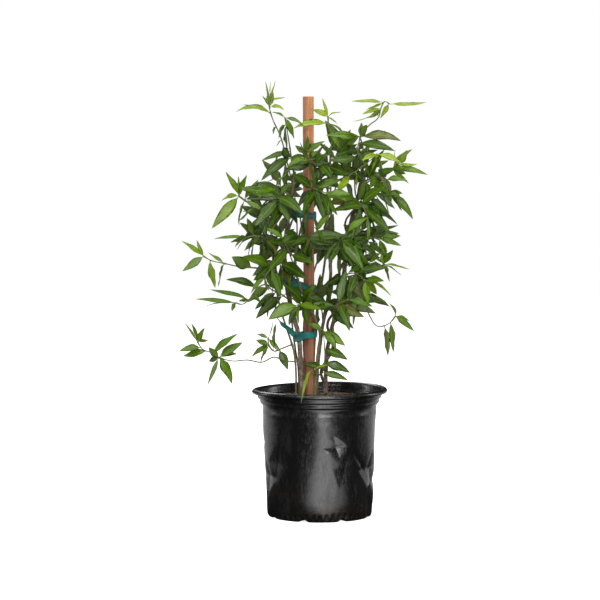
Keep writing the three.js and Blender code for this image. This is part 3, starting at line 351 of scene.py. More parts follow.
SHOOTS = dict(
  shoot_crest=dict(stem="stem_dark_inner", height=405,
    route=[[-41, 8, 438], [-45, 2, 456], [-50, -2, 470], [-57, -4, 485], [-61, -4, 500], [-60, -4, 517]],
    leaves=[[0.76, -102, -14, 494, 9, 55, 0.32], [0.78, -95, 6, 503, 7, 40, 0.2],
      [0.88, -70, -10, 514, 3.5, 40, 0.05], [0.9, -42, 0, 512, 4, 30, -0.05],
      [0.86, -43, -9, 496, 6, 50, 0.25],
      [0.86, -64, -7, 521, 6, 80, 0], [0.86, -57, -2, 521, 6, 80, 0], [0.94, -66, -5, 532, 3, 70, -0.05],
      [0.94, -54, -7, 532, 3, 70, -0.05], [0.94, -60, 2, 531, 3, 70, 0], [0.64, -57, -9, 467, 7, 70, 0.1],
      [0.45, -53, -4, 453, 3, 40, 0]]),
  shoot_crest_low=dict(stem="stem_left", height=415,
    route=[[-34, -10, 436], [-38, -12, 462], [-42, -12, 487]],
    leaves=[[1, -58, -18, 494, 5, 45, 0.1], [1, -20, -20, 477, 6, 50, 0.2],
      [0.98, -31, -24, 461, 9, 75, 0.15],
      [0.92, -40, -24, 449, 14, 85, 0.08], [0.9, -50, -26, 462, 9, 75, 0.2],
      [0.35, -71, -14, 435, 7, 70, 0.05],
      [0.1, -45, -28, 451, 13, 80, 0], [0.08, -71, -24, 411, 13, 65, 0.15]]),
  shoot_stake_top=dict(stem="stem_tan", height=415, pairs=3, leaf=31, turn=20,
    route=[[-12, -22, 428], [-17, -20, 444]],
    leaves=[[1, -15, -16, 466, 12, 85, 0], [0.9, 6, -18, 459, 8, 60, 0.1], [0.7, 0, -24, 448, 6, 60, 0.1],
      [0.8, -26, -26, 451, 6, 70, 0.1], [0.55, -34, -40, 431, 10, 60, 0.15],
      [0.3, 14, -40, 431, 10, 60, 0.2],
      [0.6, -8, -52, 436, 9, 40, 0.2]]),
  shoot_bud=dict(stem="stem_dark_back", height=432,
    route=[[14, 0, 452], [15, -4, 466], [11, -6, 476], [10, -6, 488]],
    leaves=[[1, -9, -12, 497, 8, 70, 0.1], [0.86, -32, -14, 474, 9, 65, 0.18],
      [1, 26, -2, 494, 3.5, 25, 0.2],
      [0.92, 21, -12, 480, 3.5, 30, 0], [0.8, 33, 2, 463, 5, 45, 0.2], [1, 3, -4, 511, 4, 70, 0.05],
      [0.6, 24, -10, 449, 9, 75, 0.1]]),
  shoot_top_right=dict(stem="stem_old", height=434,
    route=[[52, -4, 455], [49, -6, 466], [60, -8, 478], [71, -8, 487], [74, -6, 498], [79, -4, 507],
      [84, -6, 504]],
    leaves=[[0.86, 38, -10, 507, 6.5, 45, 0.03], [1, 130, -10, 506, 6.5, 45, -0.08],
      [1, 73, -14, 486, 7, 80, 0.05],
      [0.8, 51, -16, 491, 5.5, 60, 0.05], [0.9, 56, 0, 497, 4.5, 60, -0.05],
      [0.74, 58, 4, 487, 6, 60, -0.12],
      [0.7, 41, 6, 483, 3, 30, 0]]),
  shoot_dark_top=dict(stem="stem_old", height=418, pairs=3, leaf=31, turn=60,
    route=[[49, -10, 432], [46, -14, 450], [49, -15, 464]],
    leaves=[[1, 98, -26, 459, 13, 60, 0.14], [1, 30, -20, 471, 5, 40, -0.05],
      [0.92, 7, -24, 466, 12, 55, 0.06],
      [0.75, 90, -42, 447, 12, 65, 0.12], [0.95, 80, -6, 472, 4, 35, -0.1],
      [0.5, 18, -44, 440, 13, 65, 0.1]]),
  shoot_right_tip=dict(stem="stem_old", height=402,
    route=[[64, 6, 412], [81, 4, 420], [95, -2, 430]],
    leaves=[[1, 119, -6, 431, 5, 45, -0.05], [1, 106, -10, 448, 9, 75, 0], [1, 92, -4, 449, 4, 50, -0.3],
      [0.9, 131, -12, 418, 8, 65, 0.1], [0.75, 104, -18, 419, 13, 75, 0.08],
      [0.8, 109, 2, 407, 7, 60, -0.05],
      [0.86, 113, 6, 449, 8, 60, 0.1], [0.55, 72, 18, 440, 10, 60, 0.1]]),
  shoot_palm=dict(stem="stem_right", height=408,
    route=[[24, -26, 413], [39, -36, 420], [54, -42, 431], [69, -46, 443]],
    leaves=[[1, 50, -58, 436, 8, 60, 0.1], [1, 62, -62, 426, 6, 75, 0.05], [1, 74, -64, 427, 6, 75, 0.05],
      [1, 98, -56, 432, 9, 60, 0.15], [1, 66, -66, 440, 5, 60, 0], [0.6, 44, -62, 402, 10, 75, 0.1],
      [0.4, 20, -58, 396, 10, 75, 0.1]]),
  shoot_right_shoulder=dict(stem="stem_old", height=368, pairs=3, leaf=34, turn=30,
    route=[[58, -6, 389], [72, -8, 398], [83, -8, 395]],
    leaves=[[1, 99, -10, 388, 10, 65, 0.2], [0.95, 113, -18, 364, 11, 70, 0.15],
      [0.8, 84, -24, 371, 6, 60, 0],
      [0.35, 95, -4, 357, 8, 60, 0.1], [0.6, 68, -34, 392, 16, 80, 0.05], [0.7, 66, -28, 412, 9, 75, 0]]),
  shoot_right_high=dict(stem="stem_old", height=343, pairs=3, leaf=34, turn=10,
    route=[[50, -10, 348], [62, -12, 344], [72, -12, 340]],
    leaves=[[1, 99, -14, 332, 8, 60, 0.08], [1, 82, -22, 325, 6, 50, 0], [0.8, 64, -32, 366, 12, 75, 0],
      [0.5, 52, -36, 328, 12, 70, 0.05], [0.4, 44, -34, 372, 11, 80, 0]]),
  shoot_right_middle=dict(stem="stem_old", height=292,
    route=[[45, -2, 296], [60, -6, 298], [72, -8, 303], [78, -8, 309]],
    leaves=[[1, 89, -14, 327, 10, 75, 0], [1, 75, -16, 326, 7, 75, 0], [0.97, 85, -18, 288, 10, 80, 0],
      [1, 110, -6, 303, 4.5, 35, 0.08], [0.97, 100, 2, 295, 4.5, 35, 0.1], [0.9, 66, -20, 316, 8, 70, 0],
      [0.95, 57, 2, 324, 4, 40, 0]]),
  shoot_right_inner=dict(stem="stem_old", height=306, pairs=2, leaf=32, turn=50,
    route=[[41, -12, 312], [52, -18, 308], [60, -20, 311]],
    leaves=[[1, 43, -28, 321, 11, 75, 0.05], [0.35, 52, -30, 293, 9, 75, 0],
      [0.9, 34, -40, 300, 10, 65, 0.1]]),
  shoot_right_arch=dict(stem="stem_old", height=272,
    route=[[36, -10, 280], [48, -16, 286], [55, -18, 291]],
    leaves=[[1, 87, -24, 270, 5, 40, 0.2], [0.92, 69, -30, 274, 14, 85, 0.05],
      [0.6, 40, -32, 236, 16, 80, 0.1],
      [0.4, 24, -34, 262, 10, 75, 0.05]]),
  shoot_right_low=dict(stem="stem_old", height=249,
    route=[[38, -6, 262], [54, -10, 262], [60, -12, 248], [70, -14, 234], [84, -14, 237], [92, -14, 246]],
    leaves=[[0.8, 83, -18, 197, 12, 80, 0], [0.94, 90, -12, 202, 11, 80, -0.02],
      [0.97, 115, -20, 228, 8.5, 65, 0.08],
      [1, 109, -10, 240, 5.5, 50, 0.15], [1, 84, -12, 262, 4, 45, 0.3]]),
  shoot_upper_left=dict(stem="stem_dark_outer", height=360,
    route=[[-72, -4, 372], [-86, -6, 383], [-98, -8, 392]],
    leaves=[[1, -114, -16, 422, 9, 75, 0], [1, -99, -10, 417, 4.5, 70, 0],
      [0.97, -88, -18, 418, 10, 80, 0],
      [0.85, -74, -14, 413, 8, 70, 0.05], [1, -120, 0, 386, 7, 60, 0.25],
      [0.95, -131, -20, 353, 14, 75, 0.05],
      [0.8, -98, -18, 356, 9, 70, 0.1], [0.9, -65, -18, 372, 8, 65, 0.1],
      [0.78, -59, -22, 393, 7, 55, 0.15],
      [0.5, -100, 2, 361, 5, 40, 0]]),
  shoot_left_shoulder=dict(stem="stem_dark_outer", height=335, pairs=3, leaf=34, turn=75,
    route=[[-68, -6, 342], [-80, -10, 344], [-88, -10, 342]],
    leaves=[[1, -129, -14, 340, 5.5, 45, 0.1], [0.95, -101, 0, 326, 4, 40, 0.1],
      [0.8, -88, -26, 366, 10, 70, 0],
      [0.5, -62, -32, 374, 12, 75, 0], [0.7, -82, -28, 316, 13, 70, 0],
      [0.3, -52, -32, 320, 12, 65, 0.1]]),
  shoot_left_middle=dict(stem="stem_dark_outer", height=300,
    route=[[-75, 0, 304], [-97, -6, 306], [-115, -8, 310], [-133, -8, 314], [-141, -8, 319]],
    leaves=[[1, -168, -14, 338, 7, 65, 0.05], [1, -150, -2, 339, 5, 60, 0],
      [0.97, -167, -12, 301, 10, 70, 0],
      [0.88, -127, -18, 281, 12, 80, 0], [0.7, -123, -22, 283, 12, 80, 0.05],
      [0.7, -136, 2, 323, 5, 45, 0.05],
      [0.25, -107, -18, 319, 16, 70, 0]]),
  shoot_left_hanging=dict(stem="stem_dark_outer", height=278,
    route=[[-67, 0, 284], [-77, -4, 279], [-86, -6, 266], [-95, -6, 260], [-102, -6, 262]],
    leaves=[[1, -152, -12, 267, 6.5, 55, 0.03], [0.95, -140, 4, 257, 3, 35, 0.08],
      [0.98, -107, -10, 252, 8, 75, 0],
      [0.75, -134, -2, 278, 6.5, 50, 0.1], [0.7, -99, -14, 265, 6, 70, 0], [0.6, -72, -16, 263, 7, 70, 0.1],
      [0.47, -114, -16, 291, 10, 70, 0.12]]),
  shoot_left_low=dict(stem="stem_left", height=190,
    route=[[-42, -16, 192], [-56, -22, 197], [-70, -24, 191], [-88, -28, 194], [-105, -30, 193],
      [-121, -32, 197], [-133, -34, 204], [-142, -36, 208], [-148, -36, 217]],
    leaves=[[0.73, -136, -38, 164, 6, 65, 0.05], [0.74, -106, -42, 166, 13, 80, 0.15],
      [0.8, -99, -42, 227, 10, 70, 0.12], [0.75, -93, -34, 216, 11, 70, 0.1],
      [0.74, -134, -46, 211, 9, 65, 0],
      [0.74, -135, -22, 192, 8, 75, 0], [0.72, -100, -18, 200, 8, 60, 0.2],
      [0.93, -170, -42, 206, 9, 60, 0.1],
      [0.88, -166, -30, 199, 10, 60, 0], [1, -155, -42, 240, 7.5, 75, 0], [1, -139, -38, 234, 8, 75, 0],
      [1, -164, -32, 240, 3, 60, 0], [0.97, -135, -30, 218, 5, 60, 0]]),
  shoot_left_base=dict(stem="stem_dark_outer", height=210,
    route=[[-46, -4, 206], [-56, -8, 203], [-62, -10, 211], [-63, -10, 219]],
    leaves=[[0.8, -78, -14, 217, 8, 75, 0], [0.7, -83, -4, 196, 7, 70, 0.05],
      [0.75, -72, -18, 190, 8, 75, 0.05],
      [1, -77, -8, 224, 5, 65, 0.1], [0.95, -46, -20, 202, 6.5, 65, 0], [0.45, -39, -24, 180, 11, 75, 0.05],
      [1, -58, -6, 239, 3.5, 40, -0.2], [0.6, -53, -22, 238, 12, 80, 0]]),
  shoot_right_base=dict(stem="stem_right", height=170,
    route=[[4, -6, 178], [6, -12, 192], [6, -16, 208], [4, -20, 229]],
    leaves=[[1, 31, -26, 211, 12, 70, 0.08], [0.97, 20, -36, 207, 10, 60, 0.1],
      [0.65, 34, -28, 194, 12, 70, 0.1],
      [0.35, 37, -24, 178, 12, 70, 0.12], [0.08, 35, -16, 168, 9, 65, 0.05],
      [1, -14, -40, 238, 10, 60, 0.1],
      [0.3, -20, -30, 190, 9, 75, 0.05]]),
  shoot_rim=dict(stem="stem_tan", height=172,
    route=[[-7, -28, 182], [-9, -50, 184]],
    leaves=[[1, -23, -92, 147, 6.5, 70, 0.35], [0.5, 12, -52, 190, 5, 50, 0.1]]),
  shoot_front_low=dict(stem="stem_tan", height=262, pairs=2, leaf=34, turn=47,
    route=[[-22, -32, 262], [-26, -46, 262]],
    leaves=[[1, -62, -52, 245, 17, 70, 0.12], [1, 2, -66, 258, 10, 60, 0.1],
      [0.6, -14, -54, 282, 11, 70, 0.05],
      [0.6, -36, -50, 276, 11, 70, 0.05]]),
)

GROWN = dict(
  shoot_front_low_right=dict(stem="stem_right", height=248, pairs=4, leaf=38, turn=20,
    route=[[12, -24, 256], [20, -44, 262], [34, -56, 270]],
    leaves=[[0.6, -15, -54, 262, 10, 75, 0.05], [0.4, 5, -44, 284, 8, 80, 0.03]]),
  shoot_front_left=dict(stem="stem_left", height=308, pairs=5, leaf=41, turn=70,
    route=[[-50, -24, 312], [-60, -46, 306], [-66, -56, 296]],
    leaves=[[0.5, -80, -52, 292, 15, 80, 0.05], [0.3, -44, -44, 280, 12, 78, 0.05]]),
  shoot_front_middle=dict(stem="stem_tan", height=330, pairs=5, leaf=40, turn=15,
    route=[[-22, -40, 340], [-12, -62, 346], [-4, -72, 352]],
    leaves=[[0.7, -29, -76, 337, 9, 80, 0.03], [0.7, -18, -78, 327, 9, 78, 0.06],
      [0.3, -44, -50, 352, 12, 78, 0.1]]),
  shoot_front_right=dict(stem="stem_right", height=325, pairs=5, leaf=41, turn=50,
    route=[[18, -32, 334], [26, -58, 342], [32, -70, 350]],
    leaves=[[0.6, 10, -72, 312, 9, 80, 0.05], [0.5, 40, -56, 308, 12, 78, 0.1],
      [0.8, 52, -70, 330, 12, 80, 0.08]]),
  shoot_front_left_high=dict(stem="stem_left", height=382, pairs=5, leaf=41, turn=30,
    route=[[-44, -26, 388], [-52, -50, 392], [-54, -64, 402]],
    leaves=[[0.4, -62, -46, 348, 11, 80, 0.05], [0.5, -36, -56, 362, 12, 80, 0.08]]),
  shoot_front_high=dict(stem="stem_tan", height=398, pairs=5, leaf=40, turn=60,
    route=[[-8, -40, 402], [0, -64, 400], [10, -76, 396]],
    leaves=[[0.5, -17, -62, 372, 9, 82, 0.04], [0.7, 12, -82, 372, 10, 80, 0.05],
      [0.8, 32, -80, 388, 9, 75, 0.05]]),
  shoot_front_right_high=dict(stem="stem_old", height=388, pairs=5, leaf=41, turn=10,
    route=[[46, -28, 386], [52, -54, 380], [56, -66, 370]],
    leaves=[[0.5, 14, -62, 376, 10, 80, 0.03], [0.4, 72, -50, 366, 14, 80, 0.08]]),
  shoot_left_high=dict(stem="stem_dark_outer", height=352, pairs=4, leaf=40, turn=45,
    route=[[-66, 22, 362], [-72, 42, 374]]),
  shoot_front_left_middle=dict(stem="stem_tan", height=302, pairs=4, leaf=40, turn=35,
    route=[[-34, -34, 316], [-38, -58, 330], [-44, -70, 342]]),
  shoot_front_right_low=dict(stem="stem_right", height=285, pairs=4, leaf=40, turn=75,
    route=[[26, -26, 296], [44, -46, 300], [54, -56, 292]]),
  shoot_crown_front=dict(stem="stem_right", height=428, pairs=5, leaf=38, turn=25,
    route=[[6, -26, 430], [-6, -42, 432], [-18, -50, 438]]),
  shoot_crown_right=dict(stem="stem_old", height=409, pairs=5, leaf=38, turn=40,
    route=[[58, -24, 412], [68, -36, 418], [78, -44, 412]]),
  shoot_back_low=dict(stem="stem_back", height=248, pairs=4, leaf=39, turn=75,
    route=[[0, 48, 256], [4, 72, 262]]),
  shoot_back_left_low=dict(stem="stem_dark_inner", height=262, pairs=5, leaf=39, turn=25,
    route=[[-48, 38, 270], [-62, 58, 276], [-68, 70, 286]]),
  shoot_back_left=dict(stem="stem_dark_inner", height=325, pairs=5, leaf=41, turn=55,
    route=[[-44, 44, 332], [-56, 68, 336], [-60, 78, 346]]),
  shoot_back_middle=dict(stem="stem_back", height=325, pairs=5, leaf=40, turn=5,
    route=[[10, 56, 332], [4, 78, 336], [-4, 86, 344]]),
  shoot_back_right=dict(stem="stem_old", height=325, pairs=5, leaf=41, turn=35,
    route=[[50, 26, 334], [62, 50, 338], [66, 62, 346]]),
  shoot_back_right_low=dict(stem="stem_old", height=250, pairs=4, leaf=39, turn=65,
    route=[[32, 34, 258], [46, 54, 264], [50, 66, 274]]),
  shoot_back_left_high=dict(stem="stem_dark_inner", height=385, pairs=5, leaf=40, turn=15,
    route=[[-42, 38, 396], [-50, 60, 402], [-54, 70, 412]]),
  shoot_back_high=dict(stem="stem_dark_back", height=400, pairs=5, leaf=40, turn=56,
    route=[[4, 36, 408], [-2, 62, 414], [-6, 74, 420]]),
  shoot_back_right_high=dict(stem="stem_back", height=410, pairs=5, leaf=40, turn=80,
    route=[[38, 36, 416], [54, 54, 420], [60, 62, 426]]),
  shoot_back_top=dict(stem="stem_dark_back", height=424, pairs=4, leaf=37, turn=40,
    route=[[20, 22, 438], [24, 38, 448]]),
)

# %% [markdown]
# The stems' lines come first, because twigs start on them. The younger stem twines about the old one, so
# its line is a helix about a curved axis.

# %% Stem lines
STAKE_AT = np.array([-13.5, 0.0])
STAKE_SIDE, STAKE_TURN, STAKE_BOTTOM, STAKE_TOP = 10.0, 41.0, 20.0, 513.0
TWIG_RADIUS = 0.9
START_GAP = 0.85
stem_lines = {name: np.array(stem["route"], float) for name, stem in STEMS.items()}
stem_radius = {name: stem["radius"] for name, stem in STEMS.items()}
centres = along(stem_lines[TWINE["around"]], np.linspace(TWINE["from"], TWINE["to"], 27))[0]
turns = np.radians(TWINE["start"]) + 2 * np.pi * (centres[:, 2] - STEM_ROOT) / TWINE["pitch"]
helix = np.stack([np.cos(turns), np.sin(turns), 0 * turns], axis=1)
stem_lines["stem_twining"] = centres + TWINE["reach"] * helix
stem_radius["stem_twining"] = TWINE["radius"]
print("stems", len(stem_lines))


def twig_line(shoot):
    """A twig's points: its start stands just clear of the stem at the given height, then its route."""
    route = np.array(shoot["route"], float)
    places = np.linspace(0, 1, 4001)
    heights = along(stem_lines[shoot["stem"]], places)[0][:, 2]
    place = np.interp(shoot["height"], heights, places)
    start = along(stem_lines[shoot["stem"]], [place])[0][0]
    toward = unit(route[0] - start)
    level = np.hypot(toward[0], toward[1])
    inside = start.copy()
    start = start + toward * ((stem_radius[shoot["stem"]] + START_GAP) / level + TWIG_RADIUS)
    return np.vstack([start, route]), inside


twig_lines, twig_roots = {}, {}
for name, shoot in {**SHOOTS, **GROWN}.items():
    twig_lines[name], twig_roots[name] = twig_line(shoot)
print("twigs", len(twig_lines))

# %% [markdown]
# ## Where each leaf grows
# A leaf has to keep clear of the stake, the stems and every other shoot's leaves. Everything already there
# is remembered as a cloud of balls, and a new leaf is tried in a few places until it clears them all. The
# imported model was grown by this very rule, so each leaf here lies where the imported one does.

# %% Growth
LEAF_STOPS = np.array([0.12, 0.26, 0.4, 0.54, 0.68, 0.82, 0.95])
LEAF_LANES = np.array([-0.62, 0, 0.62])
LANE_SHARE, LEAF_MARGIN, LEAF_FOLD, NEAR_LEAF = 0.36, 0.6, 0.22, 60
PUSHES = [(0, 0), (8, 0), (-8, 0), (16, 0), (-16, 0), (24, 0), (-24, 0)]
GROWN_PUSHES = PUSHES + [(0, 10), (0, -10), (10, 12), (-10, 12), (10, -12), (-10, -12), (0, 20), (0, -20)]
UP, FRONT = np.array([0.0, 0.0, 1.0]), np.array([0.0, -1.0, 0.0])
ball_rows, ball_owners, owner_numbers = [], [], {}


def add_balls(owner, points, radius):
    """Remembers balls of one radius, or of one radius each, at points, for an owner."""
    rows = np.column_stack([points, np.broadcast_to(radius, len(points))])
    ball_rows.append(rows)
    ball_owners.extend([owner_numbers.setdefault(owner, len(owner_numbers))] * len(rows))


def line_balls(owner, line, radius, spacing):
    """Balls along a curve, evenly spaced by its length."""
    count = int(np.ceil(along(line, [0])[2] / spacing))
    add_balls(owner, along(line, np.arange(count + 1) / count)[0], radius)


def half_width(width, s):
    """A leaf's half width at a share s of its length: a sine hump leaning to the foot, drawn to two
    points."""
    return width / 2 * np.sin(np.pi * np.clip(s, 0, 1) ** 0.8) ** 0.9


def leaf_frame(foot, tip, facing, arch):
    """The foot, middle and tip of a leaf's bow, and the direction across its blade. The blade's face starts
    upwards and turns by the facing angle towards the outside of the plant, or to the front."""
    forward = unit(tip - foot)
    outward = unit(np.array([foot[0] - STAKE_AT[0], foot[1] - STAKE_AT[1], 0]))
    rise = UP - forward * (UP @ forward)
    rise = unit(rise if np.linalg.norm(rise) >= 0.05 else outward)
    sideways = np.cross(forward, UP)
    sideways = unit(sideways if np.linalg.norm(sideways) >= 0.05 else np.cross(forward, outward))
    lean = sideways @ FRONT if abs(sideways @ outward) < 0.45 else sideways @ outward
    sideways = -sideways if lean < 0 else sideways
    face = rise * np.cos(np.radians(facing)) + sideways * np.sin(np.radians(facing))
    middle = (foot + tip) / 2 + rise * arch * np.linalg.norm(tip - foot)
    return foot, middle, tip, unit(np.cross(forward, face))


def bow(frame, s):
    """Points at shares s of a quadratic bow from foot to tip."""
    s = np.asarray(s)[..., None]
    return (1 - s) ** 2 * frame[0] + 2 * s * (1 - s) * frame[1] + s**2 * frame[2]


def leaf_balls(frame, width):
    """The balls that a leaf fills, three across its blade at each stop along it: points and radii."""
    s = LEAF_STOPS[:, None]
    middle = bow(frame, LEAF_STOPS)
    tangent = unit(2 * (1 - s) * (frame[1] - frame[0]) + 2 * s * (frame[2] - frame[1]))
    normal = unit(np.cross(frame[3], tangent))
    half = half_width(width, LEAF_STOPS)[:, None, None]
    lanes = LEAF_LANES[None, :, None]
    points = middle[:, None] + frame[3] * lanes * half + normal[:, None] * LEAF_FOLD * np.abs(lanes) * half
    radii = np.broadcast_to(LANE_SHARE * half[..., 0] + LEAF_MARGIN, points.shape[:2])
    return points.reshape(-1, 3), radii.ravel()


def place_leaf(owner, foot, tip, width, facing, arch, pushes, needed):
    """Tries the tip at each push in turn, and keeps the first that is clear, or the best if it is needed."""
    rows = np.vstack(ball_rows)
    rows = rows[np.array(ball_owners) != owner_numbers.setdefault(owner, len(owner_numbers))]
    best = None
    for push in pushes:
        frame = leaf_frame(foot, tip + np.array([0, *push]), facing, arch)
        points, radii = leaf_balls(frame, width)
        near = rows[np.abs(rows[:, :3] - points[10]).max(axis=1) < NEAR_LEAF]
        gaps = np.linalg.norm(points[:, None] - near[None, :, :3], axis=2) - radii[:, None] - near[None, :, 3]
        room = gaps.min() if gaps.size else np.inf
        if best is None or room > best[1]:
            best = (frame, room, points, radii)
        if room > 0:
            break
    if best[1] <= 0 and not needed:
        return None
    add_balls(owner, best[2], best[3])
    return best[0]


chance = 20


def draw():
    """The next number, 0 to 1, of a steady stream."""
    global chance
    chance = (chance * 1664525 + 1013904223) % 4294967296
    return chance / 4294967296


def grown_leaves(shoot, line, node_at):
    """Opposite pairs of leaves along a twig, each pair a quarter turn on, and a small pair at the tip."""
    leaves = []
    for pair in range(shoot["pairs"] + 1):
        at_tip = pair == shoot["pairs"]
        place = node_at(1 if at_tip else 0.2 + 0.72 * pair / shoot["pairs"])
        points, directions, _ = along(line, [place])
        foot, forward = points[0], directions[0]
        level = unit(np.cross(forward, UP))
        lift = np.cross(level, forward)
        angle = np.radians(shoot["turn"] + 90 * pair + 50 * (draw() - 0.5))
        for side in (1, -1):
            reach = shoot["leaf"] * (0.8 + 0.4 * draw()) * (0.75 if at_tip else 1)
            facing = 45 + 42 * draw()
            width = reach * (0.28 + 0.1 * draw())
            arch = 0.02 + 0.13 * draw()
            aim = side * (level * np.cos(angle) + lift * np.sin(angle))
            aim = aim + forward * (1.1 if at_tip else 0.45) - 0.28 * UP
            leaves.append((place, foot, foot + unit(aim) * reach, width, facing, arch))
    return leaves


def listed_leaves(shoot, line, node_at):
    """The leaves of a listed shoot, each with its foot on the twig."""
    leaves = []
    for place, x, y, z, width, facing, arch in shoot["leaves"]:
        foot = along(line, [node_at(place)])[0][0]
        leaves.append((place, foot, np.array([x, y, z], float), width, facing, arch))
    return leaves


for name, line in stem_lines.items():
    line_balls(name, line, stem_radius[name] + 0.3, 4)
stake_count = int(np.ceil((STAKE_TOP - 150) / 5))
stake_heights = np.linspace(150, STAKE_TOP, stake_count + 1)
stake_points = np.column_stack([np.full(stake_count + 1, STAKE_AT[0]), np.full(stake_count + 1, STAKE_AT[1])])
add_balls("stake", np.column_stack([stake_points, stake_heights]), 7.6)
for name, tie in TIES.items():
    for tail in tie["tails"]:
        line_balls(name, np.array(tail, float), 4, 4)
    turn = np.linspace(0, 2 * np.pi, 2001)
    oval = np.array(tie["half"]) * np.column_stack([np.cos(turn), np.sin(turn)])
    run = np.concatenate([[0], np.cumsum(np.linalg.norm(np.diff(oval, axis=0), axis=1))])
    even = np.linspace(0, run[-1], 25)
    oval = np.column_stack([np.interp(even, run, oval[:, 0]), np.interp(even, run, oval[:, 1])])
    lift = -np.tan(np.radians(tie["tilt"])) * oval[:, 0]
    for step in (-0.4, 0, 0.4):
        ring = np.column_stack([oval + tie["middle"][:2], tie["middle"][2] + lift + step * tie["width"]])
        add_balls(name, ring, 2.2)
for name, line in twig_lines.items():
    line_balls(name, line, TWIG_RADIUS + 0.4, 3)

TWIG_STEP = 9
plant = {}
for name, shoot in {**SHOOTS, **GROWN}.items():
    line = twig_lines[name]
    steps = int(np.ceil(along(line, [0])[2] / TWIG_STEP))

    def node_at(place, steps=steps):
        return np.floor(place * steps + 0.5) / steps

    listed = listed_leaves(shoot, line, node_at) if "leaves" in shoot else []
    wanted = [(leaf, PUSHES, True) for leaf in listed]
    grown = grown_leaves(shoot, line, node_at) if "pairs" in shoot else []
    wanted += [(leaf, GROWN_PUSHES, False) for leaf in grown]
    plant[name] = []
    for (place, foot, tip, width, facing, arch), pushes, needed in wanted:
        frame_of_leaf = place_leaf(name, foot, tip, width, facing, arch, pushes, needed)
        if frame_of_leaf is not None:
            plant[name].append((place, frame_of_leaf, width))
print("leaves", sum(len(leaves) for leaves in plant.values()))
misfits = {}
for name, leaves in plant.items():
    low, high = (np.array(corner) * 1000 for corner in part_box(name))
    ends = np.array([leaf[1][2] for leaf in leaves])
    misfits[name] = max((low - ends).max(), (ends - high).max())
worst = max(misfits, key=misfits.get)
print("furthest leaf tip outside its packed shoot, mm", worst, round(float(misfits[worst]), 2))

# %% [markdown]
# ## Finishes
# Every finish is a small tree of shader nodes, and the trees are easier to read when each node is made in
# one line. So one helper adds a node, sets its options, and either links or fills each of its inputs.

# %% Shader helpers
def add_node(tree, kind, inputs=None, **options):
    """Adds a node; an input is linked if its value is a socket, and set otherwise."""
    item = tree.nodes.new("ShaderNode" + kind)
    for key, value in options.items():
        setattr(item, key, value)
    for key, value in (inputs or {}).items():
        if isinstance(value, bpy.types.NodeSocket):
            tree.links.new(value, item.inputs[key])
        else:
            item.inputs[key].default_value = value
    return item


def math(tree, operation, first, second=0.0, clamp=False):
    """One sum on two numbers or sockets."""
    return add_node(tree, "Math", {0: first, 1: second}, operation=operation, use_clamp=clamp).outputs[0]


def between(tree, value, low, high, start=0.0, end=1.0):
    """A value mapped from low-high to start-end, smoothly, and held at both ends."""
    inputs = {"Value": value, "From Min": low, "From Max": high, "To Min": start, "To Max": end}
    return add_node(tree, "MapRange", inputs, interpolation_type="SMOOTHSTEP").outputs["Result"]


def blend_color(tree, factor, first, second, mode="MIX"):
    """Two colours mixed by a factor."""
    item = add_node(tree, "Mix", data_type="RGBA", blend_type=mode)
    for key, value in ((0, factor), (6, first), (7, second)):
        if isinstance(value, bpy.types.NodeSocket):
            tree.links.new(value, item.inputs[key])
        else:
            item.inputs[key].default_value = (*value, 1) if key else value
    return item.outputs[2]


def noise(tree, vector, scale, detail=3.0, roughness=0.55, distortion=0.0):
    """Smooth noise, 0 to 1."""
    inputs = {"Vector": vector, "Scale": scale, "Detail": detail, "Roughness": roughness,
              "Distortion": distortion}
    return add_node(tree, "TexNoise", inputs).outputs["Fac"]


def stretched(tree, vector, scale):
    """Coordinates scaled on each axis, so that a pattern is drawn out along the axis with the small scale."""
    return add_node(tree, "Mapping", {"Vector": vector, "Scale": scale}).outputs["Vector"]


def new_finish(name):
    """An empty material with its output node; returns the material, its tree and its Object coordinates."""
    material = bpy.data.materials.new(name)
    material.use_nodes = True
    tree = material.node_tree
    tree.nodes.clear()
    where = add_node(tree, "TexCoord").outputs["Object"]
    return material, tree, where


def close_finish(tree, shader):
    """Joins the last shader to the material's surface."""
    out = add_node(tree, "OutputMaterial")
    tree.links.new(shader, out.inputs["Surface"])


def attribute(tree, name):
    """The three numbers of a mesh attribute, apart."""
    vector = add_node(tree, "Attribute", attribute_name=name).outputs["Vector"]
    split = add_node(tree, "SeparateXYZ", {"Vector": vector})
    return split.outputs[0], split.outputs[1], split.outputs[2], vector


# %% [markdown]
# Bark and sawn wood both show fibres that run along the piece, and soil dust lies on the pot.
# An effect that several finishes share is a node group, so that it is drawn once and given new values in
# each place.

# %% Shared patterns
def new_group(name, inputs, outputs):
    """An empty shader group with named number and vector sockets."""
    tree = bpy.data.node_groups.new(name, "ShaderNodeTree")
    for key, (kind, value) in inputs.items():
        socket = tree.interface.new_socket(key, in_out="INPUT", socket_type="NodeSocket" + kind)
        if kind == "Float":
            socket.default_value = value
    for key in outputs:
        tree.interface.new_socket(key, in_out="OUTPUT", socket_type="NodeSocketFloat")
    return tree, tree.nodes.new("NodeGroupInput"), tree.nodes.new("NodeGroupOutput")


